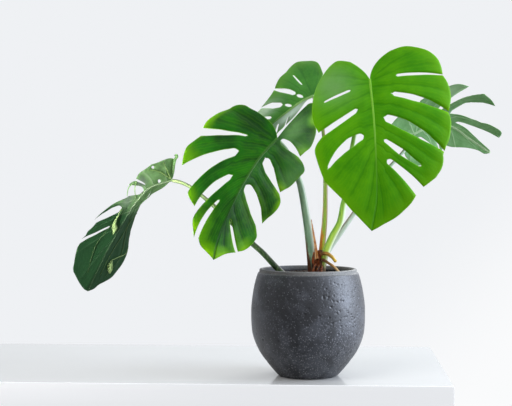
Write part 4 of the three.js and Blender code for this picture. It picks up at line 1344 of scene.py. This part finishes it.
def leaf_finish(place, deep, bright, lime, rib, vein, under, under_vein, sheen_and_shade_colour, streaks=None, shaded=None,
                shaded_vein=None, tips=0.5, tip_reach=46.0, combed=0.12, rib_fade=0.75, gloss=0.4,
                valley_shade_amount=0.5, shine=0.2, veins_below=0.8, rib_width=3.0):
    """Waxy upper side with sunk veins and a yellowing margin, and a matt paler under side. Painted shade
    darkens the valleys along the veins, and painted sheen lightens set spots.
    """
    finish, start = new_finish(f"{place}_leaf_skin")
    rib_gap, vein_gap, edge_gap, reach, rim_gap, tipward, side, sheen, ripe, streak = (
        read_number(start, name)
        for name in ("rib_gap", "vein_gap", "edge_gap", "reach", "rim_gap", "tipward", "under", "sheen",
                     "ripe", "streak"))
    broad = cloud(start, 0.06, 3, 0.55)
    middle = cloud(start, 0.014, 4, 0.6)
    fine = cloud(start, 0.0022, 3, 0.6)
    colour = tint(ease(broad + middle * 0.5, 0.45, 1.05), deep, bright)
    # Painted shade: a broad darker band along each vein, where the pleated blade dips.
    valley_shade = ease(vein_gap + middle * 3.0, 9.0, 1.0) * ease(edge_gap, 3.0, 24.0)
    colour = tint(valley_shade * valley_shade_amount, colour, vein)
    side_veins = ease(vein_gap, 1.1, 0.3) * ease(reach, 110.0, 20.0) * ease(edge_gap, 2.0, 10.0)
    colour = tint(side_veins * 0.5, colour, vein)
    comb = start.math("PINGPONG", reach - vein_gap, 4.5) / 4.5
    stripes = start.math("PINGPONG", vein_gap + middle * 9.0, 2.6) / 2.6
    branches = ease(comb + fine * 0.25, 0.24, 0.05) * ease(edge_gap, 2.0, 8.0) * ease(rib_gap, 3.0, 8.0)
    colour = tint(branches * combed, colour, vein)
    yellowing = ease(rim_gap + middle * 26.0 + broad * 14.0, tip_reach, tip_reach - 30.0) * tips
    colour = tint(yellowing, colour, lime)
    fresh = tuple(0.6 * green + 0.4 * yellow for green, yellow in zip(paint(bright), paint(lime)))
    # Negative ripe spots darken the blade to deep green. Positive ones turn it fresh and lime, and on the
    # front-left leaf's right half also stand in as painted light.
    colour = tint(ease(ripe, -0.1, -0.9), colour, deep)
    colour = tint(ease(stripes + broad * 0.5, 0.5, 1.3) * ease(edge_gap, 2.0, 12.0) * combed, colour, fresh)
    colour = tint(ease(ripe * 1.5 - edge_gap * 0.02 + middle * 0.6, 0.3, 1.2), colour, fresh)
    colour = tint(ease(ripe * 1.4 - edge_gap * 0.06 + middle * 0.6, 0.7, 1.6), colour, lime)
    colour = tint(ease(edge_gap, 1.3, 0.3) * 0.5, colour, lime)
    colour = tint(ease(rib_gap, 2.2, 1.0) * 0.6, colour, vein)
    ribbing = ease(rib_gap + tipward * 1.6, 2.6, 1.5) * ease(tipward, rib_fade, rib_fade * 0.35, 0.15, 1.0)
    colour = tint(ribbing, colour, rib)
    below = tint(ease(middle, 0.35, 0.7), under, tint(broad, under, deep))
    if shaded:
        shade = ease(tipward + middle * 0.12, 0.3, 0.5)
        below = tint(shade, below, shaded)
        under_vein = tint(shade, under_vein, shaded_vein)
    below_veins = ease(vein_gap, 1.5, 0.4) * ease(reach, 130.0, 10.0) * veins_below
    below = tint(below_veins, below, under_vein)
    below = tint(ease(rib_gap, rib_width, rib_width * 0.5), below, under_vein)
    below = tint(branches * 0.2, below, under_vein)
    colour = tint(side, colour, below)
    # Painted sheen: a pale reflection painted into the colour. On the far-left leaf the same spots are
    # painted shade in grey.
    colour = tint(sheen * ease(middle, 0.2, 0.6, 0.75, 1.0), colour, sheen_and_shade_colour)
    if streaks:
        colour = tint(streak, colour, streaks)
    relief = fine * 0.12 + branches * -0.25 + middle * 0.5
    roughness = ease(side, 0.0, 1.0, gloss, 0.55) + fine * 0.08
    skin = surface(start, colour, roughness, relief, 0.0008, Specular_IOR_Level=shine)
    glowing = start.node("ShaderNodeMix", {"data_type": "RGBA"}, {0: 0.5, 6: colour, 7: lime}, output=2)
    through = start.node("ShaderNodeBsdfTranslucent", inputs={"Color": glowing})
    thinness = ease(tipward + middle * 0.12, 0.3, 0.5, 0.55, 0.2) if shaded else 0.2
    show(start, start.node("ShaderNodeMixShader", inputs={0: thinness, 1: skin, 2: through}))
    return finish


LEAF_COLOURS = {
    "front_right": {
        "deep": "#3a8a02", "bright": "#58a406", "lime": "#8cc200", "rib": "#84c03c",
        "vein": "#2f7c00", "under": "#5f9a3c", "under_vein": "#a8cc80",
        "sheen_and_shade_colour": "#74a65c", "tips": 0.25, "valley_shade_amount": 0.5, "gloss": 0.45, "shine": 0.12, "combed": 0.2,
    },
    "front_left": {
        "deep": "#07340b", "bright": "#227409", "lime": "#84c004", "rib": "#3c6a26",
        "vein": "#072e0b", "under": "#5c8c4c", "under_vein": "#98bb7c",
        "sheen_and_shade_colour": "#78a862", "tips": 0.5, "tip_reach": 34.0, "valley_shade_amount": 0.75, "shine": 0.14, "combed": 0.2,
    },
    "back": {
        "deep": "#2a661c", "bright": "#45862e", "lime": "#7fb43c", "rib": "#7fa45c",
        "vein": "#1f5418", "under": "#749a70", "under_vein": "#aac8a2",
        "sheen_and_shade_colour": "#e2f0de", "tips": 0.25, "valley_shade_amount": 0.6,
    },
    "back_right": {
        "deep": "#5c9450", "bright": "#82b66a", "lime": "#a8cc5c", "rib": "#d0e6bc",
        "vein": "#3c7238", "under": "#8cbc84", "under_vein": "#c0dcb0",
        "sheen_and_shade_colour": "#bcdcb0", "tips": 0.25, "valley_shade_amount": 0.5, "rib_fade": 1.6,
    },
    "far_left": {
        "deep": "#203c1c", "bright": "#305428", "lime": "#94b464", "rib": "#4c6a44",
        "vein": "#5c7e54", "under": "#a6d890", "under_vein": "#d4ecc0",
        "sheen_and_shade_colour": "#8a918f", "streaks": "#b4d088", "shaded": "#25472a",
        "shaded_vein": "#4a6648", "tips": 0.15, "valley_shade_amount": 0.0, "veins_below": 0.5, "rib_width": 2.0,
        "shine": 0.12,
    },
}
for seed, place in enumerate(LEAVES):
    make_leaf(place, seed)
